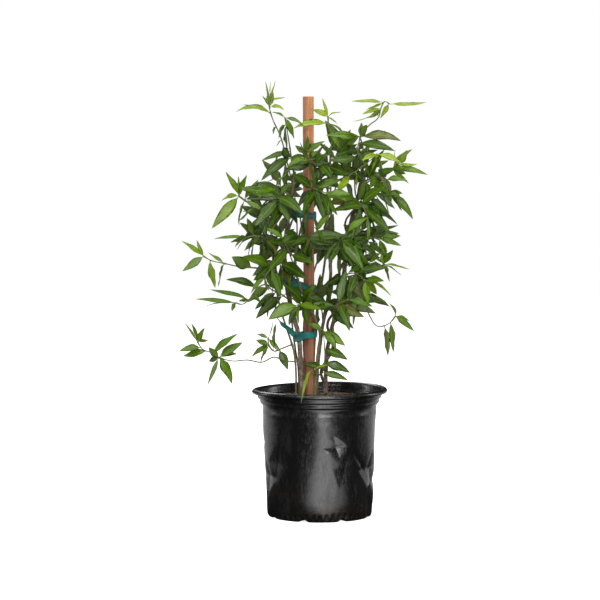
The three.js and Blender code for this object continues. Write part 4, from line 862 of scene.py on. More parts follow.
fibres, given, made = new_group(
    "fibres", {"Vector": ("Vector", None), "Fineness": ("Float", 900.0), "Length": ("Float", 0.02)},
    ["Streak", "Pore"])
squeeze = add_node(fibres, "CombineXYZ", {0: 1.0, 1: 1.0, 2: given.outputs["Length"]}).outputs[0]
drawn = add_node(fibres, "VectorMath", {0: given.outputs["Vector"], 1: squeeze},
                 operation="MULTIPLY").outputs[0]
streak = add_node(fibres, "TexNoise", {"Vector": drawn, "Scale": given.outputs["Fineness"], "Detail": 5.0})
finer = math(fibres, "MULTIPLY", given.outputs["Fineness"], 2.7)
pore = add_node(fibres, "TexNoise", {"Vector": drawn, "Scale": finer, "Detail": 2.0})
fibres.links.new(streak.outputs["Fac"], made.inputs["Streak"])
fibres.links.new(between(fibres, pore.outputs["Fac"], 0.56, 0.66), made.inputs["Pore"])

dust, given, made = new_group(
    "dust", {"Vector": ("Vector", None), "Top": ("Float", 0.05), "Amount": ("Float", 0.5)}, ["Mask"])
height = add_node(dust, "SeparateXYZ", {"Vector": given.outputs["Vector"]}).outputs[2]
low = math(dust, "SUBTRACT", 1.0, math(dust, "DIVIDE", height, given.outputs["Top"], clamp=True), clamp=True)
patch = between(dust, noise(dust, given.outputs["Vector"], 45.0, 6.0, 0.65), 0.42, 0.68)
speck = between(dust, noise(dust, given.outputs["Vector"], 900.0, 2.0), 0.58, 0.7)
film = math(dust, "MULTIPLY", patch, low)
grit = math(dust, "MULTIPLY", speck, 0.35)
cover = math(dust, "MULTIPLY", math(dust, "ADD", film, grit), given.outputs["Amount"], clamp=True)
dust.links.new(cover, made.inputs["Mask"])
print("shared patterns", [group.name for group in bpy.data.node_groups])


def use_group(tree, group, inputs):
    """Places a shared group in a finish, with its own values."""
    item = tree.nodes.new("ShaderNodeGroup")
    item.node_tree = group
    for key, value in inputs.items():
        if isinstance(value, bpy.types.NodeSocket):
            tree.links.new(value, item.inputs[key])
        else:
            item.inputs[key].default_value = value
    return item.outputs


# %% [markdown]
# A jasmine leaf is dark and glossy above, paler and matt below, with a light midrib and faint side veins
# that sweep towards the tip. Young leaves near a shoot's end are yellow-green and let light through. The
# leaf carries its own map: how far along, how far across, and whether a point is on the underside.

# %% Leaf finish
def leaf_finish(name):
    material, tree, where = new_finish(name)
    length_share, across_share, under, _ = attribute(tree, "blade")
    youth, chance_share, old, _ = attribute(tree, "growth")
    edge = math(tree, "ABSOLUTE", across_share)
    deep = blend_color(tree, chance_share, (0.012, 0.036, 0.001), (0.036, 0.085, 0.002))
    full = blend_color(tree, between(tree, youth, 0.0, 0.55), deep, (0.088, 0.18, 0.003))
    grown = blend_color(tree, between(tree, youth, 0.5, 1.0), full, (0.25, 0.36, 0.009))
    aged = blend_color(tree, math(tree, "MULTIPLY", old, 0.75), grown, (0.13, 0.115, 0.02))
    patches = between(tree, noise(tree, where, 70.0, 4.0), 0.3, 0.72)
    mottled = blend_color(tree, math(tree, "MULTIPLY", patches, 0.4), aged, (0.01, 0.03, 0.001))
    sweep = math(tree, "SUBTRACT", math(tree, "MULTIPLY", length_share, 13.0),
                 math(tree, "MULTIPLY", edge, 2.2))
    wave = math(tree, "ABSOLUTE", math(tree, "SINE", math(tree, "MULTIPLY", sweep, np.pi)))
    side_vein = math(tree, "MULTIPLY", between(tree, wave, 0.28, 0.0), between(tree, edge, 0.95, 0.3))
    midrib = between(tree, edge, 0.11, 0.02)
    veins = math(tree, "MAXIMUM", math(tree, "MULTIPLY", side_vein, 0.22),
                 math(tree, "MULTIPLY", midrib, 0.7))
    lines = blend_color(tree, veins, mottled, (0.16, 0.25, 0.02))
    pale = blend_color(tree, 0.5, lines, (0.12, 0.19, 0.035))
    color = blend_color(tree, under, lines, pale)
    fine = noise(tree, where, 1500.0, 2.0)
    ridge = math(tree, "ADD", math(tree, "MULTIPLY", veins, -1.0), math(tree, "MULTIPLY", fine, 0.12))
    bump = add_node(tree, "Bump", {"Height": ridge, "Strength": 0.35, "Distance": 0.0006}).outputs["Normal"]
    gloss = math(tree, "ADD", between(tree, noise(tree, where, 120.0, 2.0), 0.3, 0.7, 0.28, 0.42),
                 math(tree, "MULTIPLY", under, 0.22))
    surface = add_node(tree, "BsdfPrincipled", {"Base Color": color, "Roughness": gloss, "Normal": bump,
                                                "Specular IOR Level": 0.34})
    through = blend_color(tree, 0.5, color, (0.26, 0.38, 0.004))
    glow = add_node(tree, "BsdfTranslucent", {"Color": through, "Normal": bump})
    both = add_node(tree, "MixShader", {"Fac": 0.22, 1: surface.outputs[0], 2: glow.outputs[0]})
    close_finish(tree, both.outputs[0])
    return material


leaf_green = leaf_finish("leaf_green")

# %% [markdown]
# Bark is the same recipe three times: fibres along the stem, darker pores, a few pale patches and a bump.
# Only the colours differ, from the brown bark of old stems to the green skin of a young twig.

# %% Bark finishes
def bark_finish(name, dark, light, patch, fineness):
    material, tree, where = new_finish(name)
    vector = attribute(tree, "bark")[3]
    laid = stretched(tree, vector, (0.05, 1.0, 1.0))
    lengthwise = noise(tree, laid, fineness, 5.0, 0.6)
    spots = between(tree, noise(tree, where, 160.0, 4.0), 0.45, 0.62)
    pores = use_group(tree, fibres, {"Vector": where, "Fineness": 1400.0, "Length": 0.25})
    base = blend_color(tree, between(tree, lengthwise, 0.35, 0.68), dark, light)
    patched = blend_color(tree, math(tree, "MULTIPLY", spots, 0.55), base, patch)
    color = blend_color(tree, math(tree, "MULTIPLY", pores["Pore"], 0.5), patched, dark)
    height = math(tree, "ADD", lengthwise, math(tree, "MULTIPLY", pores["Streak"], 0.6))
    bump = add_node(tree, "Bump", {"Height": height, "Strength": 0.7, "Distance": 0.0008}).outputs["Normal"]
    rough = between(tree, spots, 0.0, 1.0, 0.78, 0.62)
    surface = add_node(tree, "BsdfPrincipled", {"Base Color": color, "Roughness": rough, "Normal": bump})
    close_finish(tree, surface.outputs[0])
    return material


bark_brown = bark_finish("bark_brown", (0.03, 0.018, 0.011), (0.15, 0.098, 0.06), (0.2, 0.16, 0.11), 9.0)
bark_green = bark_finish("bark_green", (0.04, 0.035, 0.012), (0.16, 0.15, 0.05), (0.1, 0.13, 0.03), 9.0)
twig_skin = bark_finish("twig_skin", (0.05, 0.06, 0.015), (0.14, 0.17, 0.045), (0.09, 0.06, 0.03), 7.0)

# %% [markdown]
# The pot is thin blow-moulded plastic: nearly black, with a satin gloss that scuffs have dulled in places,
# fine scratches, and a film of dried soil near the foot. Its gloss has to vary, or the long highlight down
# its front looks painted.

# %% Pot finish
def pot_finish():
    material, tree, where = new_finish("pot_black")
    scuffs = between(tree, noise(tree, stretched(tree, where, (1.0, 1.0, 0.35)), 60.0, 7.0, 0.68), 0.5, 0.66)
    scratches = use_group(tree, fibres, {"Vector": where, "Fineness": 700.0, "Length": 0.06})
    film = use_group(tree, dust, {"Vector": where, "Top": 0.06, "Amount": 0.32})["Mask"]
    base = blend_color(tree, math(tree, "MULTIPLY", scuffs, 0.5),
                       (0.0035, 0.0034, 0.0034), (0.0085, 0.0083, 0.008))
    color = blend_color(tree, math(tree, "MULTIPLY", film, 0.7), base, (0.035, 0.026, 0.018))
    rough = math(tree, "ADD", between(tree, scuffs, 0.0, 1.0, 0.24, 0.36),
                 math(tree, "MULTIPLY", film, 0.3), clamp=True)
    height = math(tree, "ADD", math(tree, "MULTIPLY", noise(tree, where, 26.0, 3.0), 2.2),
                  math(tree, "MULTIPLY", scratches["Pore"], -0.12))
    bump = add_node(tree, "Bump", {"Height": height, "Strength": 0.4, "Distance": 0.0009}).outputs["Normal"]
    surface = add_node(tree, "BsdfPrincipled", {"Base Color": color, "Roughness": rough, "Normal": bump,
                                                "Specular IOR Level": 0.5})
    close_finish(tree, surface.outputs[0])
    return material


pot_black = pot_finish()

# %% [markdown]
# Potting mix is composted bark and peat: crumbs of every brown, matt, with the odd pale fleck of perlite.

# %% Soil finish
def soil_finish(name, low, high):
    material, tree, where = new_finish(name)
    crumbs = add_node(tree, "TexVoronoi", {"Vector": where, "Scale": 420.0})
    tone = add_node(tree, "SeparateColor", {"Color": crumbs.outputs["Color"]}).outputs[0]
    clods = noise(tree, where, 130.0, 5.0, 0.7)
    base = blend_color(tree, between(tree, clods, 0.3, 0.7), low, high)
    varied = blend_color(tree, math(tree, "MULTIPLY", tone, 0.5), base, (0.028, 0.018, 0.011))
    flecks = between(tree, noise(tree, where, 700.0, 1.0), 0.735, 0.76)
    color = blend_color(tree, math(tree, "MULTIPLY", flecks, 0.6), varied, (0.42, 0.38, 0.31))
    height = math(tree, "ADD", crumbs.outputs["Distance"], clods)
    bump = add_node(tree, "Bump", {"Height": height, "Strength": 0.9, "Distance": 0.0015}).outputs["Normal"]
    rough = between(tree, clods, 0.2, 0.8, 0.98, 0.82)
    surface = add_node(tree, "BsdfPrincipled", {"Base Color": color, "Roughness": rough,
                                                "Normal": bump})
    close_finish(tree, surface.outputs[0])
    return material


soil_brown = soil_finish("soil_brown", (0.03, 0.019, 0.012), (0.11, 0.068, 0.041))
chip_brown = soil_finish("chip_brown", (0.06, 0.034, 0.02), (0.21, 0.125, 0.075))

# %% [markdown]
# The stake is sawn redwood: straight close grain, a pink-orange heart and darker bands, roughened by the
# saw. Its colour also holds painted shade: the sides that face left are painted darker, and so is the
# stake towards its foot, fully below 0.33 m.

# %% Wood finish
def stake_finish():
    material, tree, where = new_finish("redwood_sawn")
    grain = use_group(tree, fibres, {"Vector": where, "Fineness": 420.0, "Length": 0.018})
    bands = noise(tree, stretched(tree, where, (1.0, 1.0, 0.05)), 190.0, 3.0)
    base = blend_color(tree, between(tree, bands, 0.36, 0.64), (0.24, 0.088, 0.042), (0.52, 0.235, 0.12))
    streaks = between(tree, grain["Streak"], 0.44, 0.66, 0.0, 0.75)
    streaked = blend_color(tree, streaks, base, (0.15, 0.055, 0.03))
    worn = blend_color(tree, math(tree, "MULTIPLY", grain["Pore"], 0.45), streaked, (0.09, 0.03, 0.018))
    # Painted shade: faces turned to the left are mixed up to halfway to a dark brown; right-facing faces keep
    # their colour.
    facing = add_node(tree, "NewGeometry").outputs["Normal"]
    rightward = add_node(tree, "SeparateXYZ", {"Vector": facing}).outputs[0]
    turned = between(tree, rightward, 0.15, -0.15, 0.0, 0.5)
    warmed = blend_color(tree, 0.35, worn, (0.6, 0.26, 0.075))
    color = blend_color(tree, turned, warmed, (0.2, 0.085, 0.055))
    # Painted shade: the stake darkens towards its foot, fully below 0.33 m.
    height = add_node(tree, "SeparateXYZ", {"Vector": where}).outputs[2]
    lower_shade = between(tree, height, 0.43, 0.33)
    shade_painted_color = blend_color(tree, math(tree, "MULTIPLY", lower_shade, 0.55), color, (0.075, 0.022, 0.014))
    relief = math(tree, "SUBTRACT", grain["Streak"], math(tree, "MULTIPLY", grain["Pore"], 0.5))
    bump = add_node(tree, "Bump", {"Height": relief, "Strength": 0.6, "Distance": 0.0007}).outputs["Normal"]
    rough = between(tree, bands, 0.2, 0.8, 0.7, 0.85)
    surface = add_node(tree, "BsdfPrincipled", {"Base Color": shade_painted_color, "Roughness": rough, "Normal": bump})
    close_finish(tree, surface.outputs[0])
    return material


redwood_sawn = stake_finish()

# %% [markdown]
# Plant tape is stretchy vinyl. Pulled tight, it shows fine creases along its length and a satin sheen, and
# it turns a little paler where it is stretched thin.

# %% Tape finish
def tape_finish():
    material, tree, where = new_finish("tape_teal")
    vector = attribute(tree, "tape")[3]
    creases = noise(tree, stretched(tree, vector, (0.12, 9.0, 1.0)), 4.0, 4.0, 0.6)
    thin = between(tree, noise(tree, where, 110.0, 3.0), 0.4, 0.66)
    color = blend_color(tree, thin, (0.0015, 0.085, 0.068), (0.008, 0.19, 0.155))
    bump = add_node(tree, "Bump", {"Height": creases, "Strength": 0.8, "Distance": 0.0012}).outputs["Normal"]
    rough = between(tree, creases, 0.3, 0.7, 0.34, 0.5)
    surface = add_node(tree, "BsdfPrincipled", {"Base Color": color, "Roughness": rough, "Normal": bump})
    close_finish(tree, surface.outputs[0])
    return material


tape_teal = tape_finish()


# %% [markdown]
# The floor is white paper, and it plays three parts. The camera sees it lifted to the white of the room. In
# a glossy surface it shows a painted glow lying in front of the pot, though the floor is no lamp: this paints
# the long highlight down the pot's front, and a fainter painted glow behind it paints the thin light along
# its sides. Anything else is lit by a dim floor, so that the leaves' undersides stay dark.

# %% Floor finish
# The last two strengths are painted glows, seen in the floor only by glossy rays.
PAPER_LIFT, PAPER_DIM, FRONT_GLOW, FAR_GLOW = 0.75, 0.2, 4.6, 0.9
# The front glow's edges across and along the floor, in metres, each from nothing to full strength.
GLOW_LEFT, GLOW_RIGHT, GLOW_NEAR, FAR_GROUND = (-0.09, -0.03), (0.2, 0.11), (-0.1, -0.19), (0.08, 0.4)


def floor_finish():
    material, tree, where = new_finish("studio_floor")
    grain = noise(tree, where, 300.0, 2.0)
    color = blend_color(tree, grain, (0.8, 0.8, 0.8), (0.84, 0.84, 0.84))
    paper = add_node(tree, "BsdfPrincipled", {"Base Color": color, "Roughness": 0.9})
    lift = add_node(tree, "Emission", {"Color": (1, 1, 1, 1), "Strength": PAPER_LIFT})
    seen = add_node(tree, "AddShader", {0: paper.outputs[0], 1: lift.outputs[0]})
    across, along = add_node(tree, "SeparateXYZ", {"Vector": where}).outputs[:2]
    # A painted glow in front of the pot, seen only by glossy rays: it paints the long highlight down the pot's
    # front.
    sides = math(tree, "MULTIPLY", between(tree, across, *GLOW_LEFT), between(tree, across, *GLOW_RIGHT))
    front_glow = math(tree, "MULTIPLY", sides, between(tree, along, *GLOW_NEAR, 0.0, FRONT_GLOW))
    # A fainter painted glow behind the pot, seen the same way: it paints the thin light along the pot's sides.
    beyond = between(tree, along, *FAR_GROUND, 0.02, FAR_GLOW)
    glow = add_node(tree, "Emission", {"Color": (1, 1, 1, 1), "Strength": math(tree, "ADD", front_glow, beyond)})
    dim = add_node(tree, "BsdfDiffuse", {"Color": (PAPER_DIM, PAPER_DIM, PAPER_DIM, 1)})
    path = add_node(tree, "LightPath").outputs
    indirect = add_node(tree, "MixShader", {"Fac": path["Is Glossy Ray"], 1: dim.outputs[0],
                                            2: glow.outputs[0]})
    either = add_node(tree, "MixShader", {"Fac": path["Is Camera Ray"], 1: indirect.outputs[0],
                                          2: seen.outputs[0]})
    close_finish(tree, either.outputs[0])
    return material


floor_mesh.materials.append(floor_finish())
print("finishes", [material.name for material in bpy.data.materials])

# %% [markdown]
# ## The pot
# The pot is a thing of turning: a profile, rolled lip to raised floor, carried round the axis. What makes
# it real is where it isn't round: flutes and notches moulded in the foot, and the dents and creases that a
# thin wall takes in a truck. Those are small inward pushes, worked out from the angle and the height.

# %% Pot profile
POT_HEIGHT = 157.0
POT_AROUND = 432
FLUTES, FLUTE_DEPTH, FLUTE_TOP = 50, 1.5, 9.6
NOTCHES, NOTCH_TURN, NOTCH_DEPTH = 8, 3.5, 4.2
# How far the lip leans across, droops and is out of round, each a share of its radius but the droop in mm.
LIP_LEAN, LIP_DROOP, LIP_OVAL = 0.011, 0.5, 0.008
WALL_RADIUS = 66.0
OUTSIDE = [
    (0.4, 2.2), (30, 2.2), (50, 1.6), (56, 0.3), (59, 0), (61.6, 0.1), (63.1, 0.9), (63.9, 2.2),
    (64.2, 4), (64.5, 8), (64.7, 11), (65.2, 20), (66.2, 45), (67.4, 75), (68.5, 105), (68.95, 120),
    (69.1, 125.5), (69.55, 127), (69.55, 129), (69.2, 130.5), (69.35, 136), (69.8, 138), (71.6, 138.9),
    (72.5, 139.6), (72.6, 141), (72.6, 143.8), (73.1, 144.9), (75, 145.4), (75.5, 146.2), (75.5, 150.2),
    (76.3, 151), (80.6, 151.1), (81.7, 151.6), (82.4, 152.8), (82.5, 154.2), (82.0, 155.3), (81.2, 155.7),
    (80.8, 156.3), (79.9, 156.95), (78.4, 157)]
INSIDE = [
    (77, 156.6), (75.4, 155.2), (74.3, 152.5), (73.9, 147.5), (73.5, 146.6), (71.3, 146), (70.9, 145),
    (70.9, 141), (70.4, 140.2), (68.4, 139.6), (67.9, 138), (67.8, 130), (67.4, 120), (66.2, 80),
    (64.2, 30), (63, 8), (62, 4.4), (60, 3.1), (40, 3.0), (0.4, 3.0)]
# Each dent's angle, height, half width, half height, depth and lean. Each fold's start and end, as an angle
# and a height, its depth and its width.
DENTS = [
    (17, 91, 19, 13, 3.2, -0.25), (27, 66, 16, 26, 2.0, 0.3), (66, 62, 26, 24, 4.2, 0.25),
    (84, 44, 20, 17, 3.2, 0.0), (-72, 52, 24, 20, 3.6, -0.2), (-50, 70, 22, 30, 1.6, 0.2),
    (150, 74, 34, 26, 3.8, 0.3), (-140, 58, 30, 30, 3.0, -0.3), (-100, 92, 24, 18, 2.2, 0.0),
    (110, 100, 26, 16, 1.8, 0.2)]
FOLDS = [
    ((4, 88), (25, 93), 0.9, 1.5), ((25, 93), (12, 104), 0.7, 1.5), ((3, 86), (7, 50), 0.6, 2.6),
    ((30, 94), (62, 50), 0.7, 2.4)]


def smooth_profile(corners, spacing):
    """Points at an even spacing along straight runs between corners, then averaged once with their
    neighbours, which rounds every corner a little."""
    corners = np.array(corners, float)
    steps = np.maximum(np.ceil(np.linalg.norm(np.diff(corners, axis=0), axis=1) / spacing).astype(int), 1)
    runs = [np.linspace(a, b, n, endpoint=False) for a, b, n in zip(corners[:-1], corners[1:], steps)]
    points = np.vstack(runs + [corners[-1:]])
    points[1:-1] = 0.25 * points[:-2] + 0.5 * points[1:-1] + 0.25 * points[2:]
    return points


def dent(angle, height, centre, middle, wide, tall, deep, lean):
    """A facetted push: a pyramid in the plane of angle and height, whose four slopes meet in creases. Lean
    slides it sideways as it rises."""
    across = (angle - np.radians(centre)) * WALL_RADIUS - lean * (height - middle)
    pyramid = 1 - np.abs(across) / wide - np.abs(height - middle) / tall
    return deep * np.maximum(pyramid, 0)


def fold(angle, height, start, end, deep, wide):
    """A crease: a narrow valley along the line between two spots, each an angle and a height, fading at
    its ends."""
    x, z = angle * WALL_RADIUS, height
    x0, x1 = np.radians(start[0]) * WALL_RADIUS, np.radians(end[0]) * WALL_RADIUS
    z0, z1 = start[1], end[1]
    length = np.hypot(x1 - x0, z1 - z0)
    run = ((x - x0) * (x1 - x0) + (z - z0) * (z1 - z0)) / length
    off = ((x - x0) * (z1 - z0) - (z - z0) * (x1 - x0)) / length
    reach = np.clip(run / length, 0, 1)
    return deep * np.exp(-(off / wide) ** 2) * np.sin(np.pi * reach) ** 0.7


def pot_wall(profile):
    """The profile carried round: radius is the profile's, less the dents and flutes. Angles are counted
    from the front, positive to the right."""
    turn = 2 * np.pi * np.arange(POT_AROUND) / POT_AROUND
    front = (turn + np.pi / 2 + np.pi) % (2 * np.pi) - np.pi
    angle, height = np.broadcast_arrays(front[None], profile[:, 1:2])
    radius = np.repeat(profile[:, :1], POT_AROUND, axis=1)
    body = np.clip((height - 10) / 14, 0, 1) * np.clip((128 - height) / 16, 0, 1)
    push = sum(dent(angle, height, *spot) for spot in DENTS)
    push = push + sum(fold(angle, height, *line) for line in FOLDS)
    push += 0.45 * np.sin(3 * angle + 0.7) * np.sin(height / 23) + 0.3 * np.sin(7 * angle + height / 31)
    flutes = np.maximum(np.cos(FLUTES * angle), 0) ** 0.6 * np.clip((height - 1.2) / 1.5, 0, 1)
    arch_top = FLUTE_TOP + 0.7 * np.sin(5 * angle)
    flutes = flutes * np.clip((arch_top - height) / 1.8, 0, 1)
    wall = np.clip((profile[:, :1] - 60) / 3, 0, 1)
    radius = radius - wall * (push * body + FLUTE_DEPTH * flutes)
    notch = np.maximum(np.cos(NOTCHES * (angle - np.radians(NOTCH_TURN)) + np.pi), 0) ** 7
    foot = np.clip((profile[:, :1] - 52) / 8, 0, 1) * np.clip((12 - height) / 12, 0, 1)
    lifted = notch * NOTCH_DEPTH * foot
    share = np.clip(height / POT_HEIGHT, 0, 1)
    lean = LIP_LEAN * radius * np.cos(turn)[None] + LIP_DROOP * np.sin(2 * turn)[None]
    sag = (height / POT_HEIGHT) ** 6 * lean
    oval = 1 + LIP_OVAL * share**3 * np.cos(2 * turn)[None]
    x, y = radius * oval * np.cos(turn)[None], radius * (2 - oval) * np.sin(turn)[None]
    return np.stack([x, y, height + lifted + sag], axis=-1)


profile = np.vstack([smooth_profile(OUTSIDE, 2.2), smooth_profile(INSIDE, 4.0)])
pot = Shape()
pot.add(pot_wall(profile)[None] * MM)
pot_piece = pot.build("pot_shell", [pot_black], "pot_plastic", ["pot"])
print("pot", len(pot_piece.data.polygons), "faces; rim height, mm", round(max(profile[:, 1]), 1))

# %% [markdown]
# ## The potting mix
# The mix fills the pot to a finger's width under its rim. Its top is a disc with a low mound, roughened by
# a sum of waves, and strewn with chips of composted bark. Each chip is a squashed, broken block of a few
# faces, because there are hundreds of them.

# %% Soil and bark chips
SOIL_RADIUS, SOIL_EDGE, SOIL_MOUND = 67.0, 144.0, 149.0


def lumps(x, y):
    """Rough ground: waves of eight sizes, each at its own angle, the smaller ones the lower."""
    total = np.zeros_like(x)
    for k in range(8):
        size, heading = 17.0 / 1.45**k, 2.4 * k
        run = x * np.cos(heading) + y * np.sin(heading)
        cross = -x * np.sin(heading) + y * np.cos(heading)
        wave = np.sin(2 * np.pi * run / size + k) * np.cos(2 * np.pi * cross / (1.3 * size) + 2 * k)
        total += size * 0.045 * wave
    return total


def soil_top(x, y):
    """The height of the ground: an edge level, a mound about the middle, and the lumps."""
    r = np.hypot(x, y)
    mound = (SOIL_MOUND - SOIL_EDGE) * np.exp(-((r / 34) ** 2))
    return SOIL_EDGE + mound + lumps(x, y) * np.clip((SOIL_RADIUS + 3 - r) / 6, 0.2, 1)


reach = np.concatenate([[20, 60, SOIL_RADIUS - 3.2, SOIL_RADIUS - 1], np.linspace(SOIL_RADIUS, 0.3, 46)])
level = np.array([6.0, 6.0, 40.0, 130.0])
turn = 2 * np.pi * np.arange(150) / 150
x, y = reach[:, None] * np.cos(turn), reach[:, None] * np.sin(turn)
z = soil_top(x, y)
z[:4] = level[:, None]
x[:4] *= np.array([1, 1, 0.97, 0.995])[:, None]
y[:4] *= np.array([1, 1, 0.97, 0.995])[:, None]
soil = Shape()
soil.add(np.stack([x, y, z], axis=-1)[None] * MM)

CHIPS = 520
distance = SOIL_RADIUS * np.sqrt(rng.uniform(0.004, 0.97, CHIPS))
heading = rng.uniform(0, 2 * np.pi, CHIPS)
chip_x, chip_y = distance * np.cos(heading), distance * np.sin(heading)
centre = np.stack([chip_x, chip_y, soil_top(chip_x, chip_y) + 0.3], axis=1)
long_axis = unit(np.stack([np.cos(3 * heading), np.sin(3 * heading), rng.uniform(-0.5, 0.5, CHIPS)], axis=1))
flat_axis = unit(np.cross(long_axis, unit(rng.normal(size=(CHIPS, 3)) * [0.5, 0.5, 1])))
third_axis = np.cross(long_axis, flat_axis)
size = rng.uniform(0.5, 1.0, (CHIPS, 1)) ** 2 * 4.6
spread = np.array([-1, -0.55, 0.5, 1])[None, :, None]
width = np.array([0.35, 1, 0.85, 0.3])[None, :, None] * rng.uniform(0.7, 1.25, (CHIPS, 4, 6))
turn = 2 * np.pi * np.arange(6) / 6
chip = centre[:, None, None] + (spread * size[:, None])[..., None] * long_axis[:, None, None]
chip = chip + (width * size[:, None] * 0.5 * np.cos(turn))[..., None] * flat_axis[:, None, None]
chip = chip + (width * size[:, None] * 0.24 * np.sin(turn))[..., None] * third_axis[:, None, None]
stake_gap = np.hypot(chip_x - STAKE_AT[0], chip_y - STAKE_AT[1]) > 9
kept = stake_gap & (np.hypot(chip_x, chip_y) < SOIL_RADIUS - 3)
soil.add(chip[kept] * MM, slot=1)
soil_piece = soil.build("potting_mix", [soil_brown, chip_brown], "potting_mix", ["soil"])
print("bark chips", int(kept.sum()), "soil faces", len(soil_piece.data.polygons))

# %% [markdown]
# ## The stake
# The stake is a square section carried up a straight line. Its edges are slightly rounded, no edge of sawn
# wood is quite straight, and its top is cut off square with a soft arris.

# %% Stake
ring_corner = np.array([[1, -1], [1, 1], [-1, 1], [-1, -1]])
arris = 0.9
section = []
for corner in ring_corner:
    for swing in np.linspace(-1, 1, 4):
        heading = np.arctan2(corner[1], corner[0]) + swing * np.pi / 4
        outward = np.array([np.cos(heading), np.sin(heading)])
        section.append(corner * (STAKE_SIDE / 2 - arris) + arris * outward)
section = np.array(section)
sawn_end = [STAKE_TOP - 0.5, STAKE_TOP - 0.12, STAKE_TOP]
heights = np.concatenate([np.linspace(STAKE_BOTTOM, STAKE_TOP - 1.2, 90), sawn_end])
inset = np.concatenate([np.ones(90), [0.985, 0.94, 0.88]])
saw = 1 + 0.012 * np.sin(heights / 5.3) + 0.008 * np.sin(heights / 1.9 + 1)
scale = (inset * saw)[:, None, None]
twist = np.radians(STAKE_TURN + 1.6 * np.sin(heights / 160))
cosine, sine = np.cos(twist)[:, None], np.sin(twist)[:, None]
flat = section[None] * scale
bow_x = 0.5 * np.sin(heights / 120)[:, None]
x = flat[..., 0] * cosine - flat[..., 1] * sine + STAKE_AT[0] + bow_x
y = flat[..., 0] * sine + flat[..., 1] * cosine + STAKE_AT[1]
z = np.broadcast_to(heights[:, None], x.shape)
stake = Shape()
stake.add(np.stack([x, y, z], axis=-1)[None] * MM)
stake.build("stake_redwood", [redwood_sawn], "redwood", ["stake"])
print("stake side, mm", STAKE_SIDE, "top, mm", STAKE_TOP)

# %% [markdown]
# ## The ties
# Each tie is a strip of stretched tape: an oval loop about the stake and the stems, and loose tails from
# its knot. A strip is a thin rounded section carried along its line. Its width swells and narrows along
# the way, and the knot is a few tight turns of the same tape.

# %% Tape strips
TAPE_THICKNESS = 0.8


def strip_rings(points, directions, outward, width, thickness, ripple):
    """A flat section carried along points: width runs square to the path and to outward. A small wave
    across the strip gives it lengthwise creases."""
    run = np.concatenate([[0], np.cumsum(np.linalg.norm(np.diff(points, axis=0), axis=1))])
    outward = unit(outward - directions * np.sum(outward * directions, axis=1, keepdims=True))
    broad = np.cross(directions, outward)
    across = np.concatenate([np.linspace(-1, 1, 9), np.linspace(0.75, -0.75, 4)])
    face = np.concatenate([np.ones(9), -np.ones(4)])
    face[[0, 8]] = 0
    swell = 1 + 0.1 * np.sin(run / 4.1 + 1) + 0.06 * np.sin(run / 1.7)
    crease = ripple * np.sin(across[None] * 7 + run[:, None] / 9) * np.cos(run[:, None] / 6)
    lift = (face[None] * thickness / 2 + crease)[..., None] * outward[:, None]
    side = (across[None] * np.reshape(width, (-1, 1)) / 2 * swell[:, None])[..., None] * broad[:, None]
    rings = (points[:, None] + side + lift)[:, ::-1]
    info = np.stack(np.broadcast_arrays(run[:, None] / 10, across[None, ::-1], 0.0), axis=-1)
    return rings, info


for name, tie in TIES.items():
    middle, (half_x, half_y) = np.array(tie["middle"], float), tie["half"]
    turn = 2 * np.pi * np.arange(96) / 96
    lift = -np.tan(np.radians(tie["tilt"])) * half_x * np.cos(turn) + 0.6 * np.sin(3 * turn)
    grow = TAPE_THICKNESS / 2
    loop = middle + np.stack([(half_x + grow) * np.cos(turn), (half_y + grow) * np.sin(turn), lift], axis=1)
    ahead = unit(np.roll(loop, -1, axis=0) - np.roll(loop, 1, axis=0))
    outward = unit(np.stack([np.cos(turn) / half_x, np.sin(turn) / half_y, 0 * turn], axis=1))
    tape = Shape()
    rings, info = strip_rings(loop, ahead, outward, tie["width"] * 0.92, TAPE_THICKNESS, 0.22)
    tape.add(rings[None] * MM, closed_path=True, tape=info[None])
    for count, tail in enumerate(tie["tails"]):
        points, directions, length = along(np.array(tail, float), np.linspace(0, 1, 26))
        roll = np.linspace(0.2, 1.5 + 0.6 * count, 26)[:, None]
        lateral = unit(np.cross(directions, UP))
        outward = lateral * np.cos(roll) + np.cross(lateral, directions) * np.sin(roll)
        taper = tie["width"] * np.interp(np.linspace(0, 1, 26), [0, 0.15, 0.8, 1], [0.45, 0.66, 0.7, 0.55])
        rings, info = strip_rings(points, directions, outward, taper, TAPE_THICKNESS * 0.8, 0.25)
        tape.add(rings[None] * MM, tape=info[None])
    knot_at = np.array(tie["tails"][0][0], float)
    for ring_number in range(3):
        spin = 2 * np.pi * np.arange(40) / 40
        tilt = 0.6 * ring_number - 0.5
        u = np.array([np.cos(tilt), 0.3 * np.sin(tilt), np.sin(tilt)])
        v = unit(np.cross(u, np.array([0.3, -1.0, 0.2])))
        knot = knot_at + (3.0 * np.cos(spin))[:, None] * unit(u) + (2.2 * np.sin(spin))[:, None] * v
        ahead = unit(np.roll(knot, -1, axis=0) - np.roll(knot, 1, axis=0))
        rings, info = strip_rings(knot, ahead, unit(knot - knot_at), 3.0, TAPE_THICKNESS, 0.12)
        tape.add(rings[None] * MM, closed_path=True, tape=info[None])
    piece = tape.build(name + "_tape", [tape_teal], "tie_tape", [name])
    print(name, "faces", len(piece.data.polygons))

# %% [markdown]
# ## The stems
# A stem is a tube whose skin is never quite round. Old stems have thick, fissured brown bark, young ones
# are thin and smooth; each narrows as it climbs, with a swelling wherever a shoot leaves it.

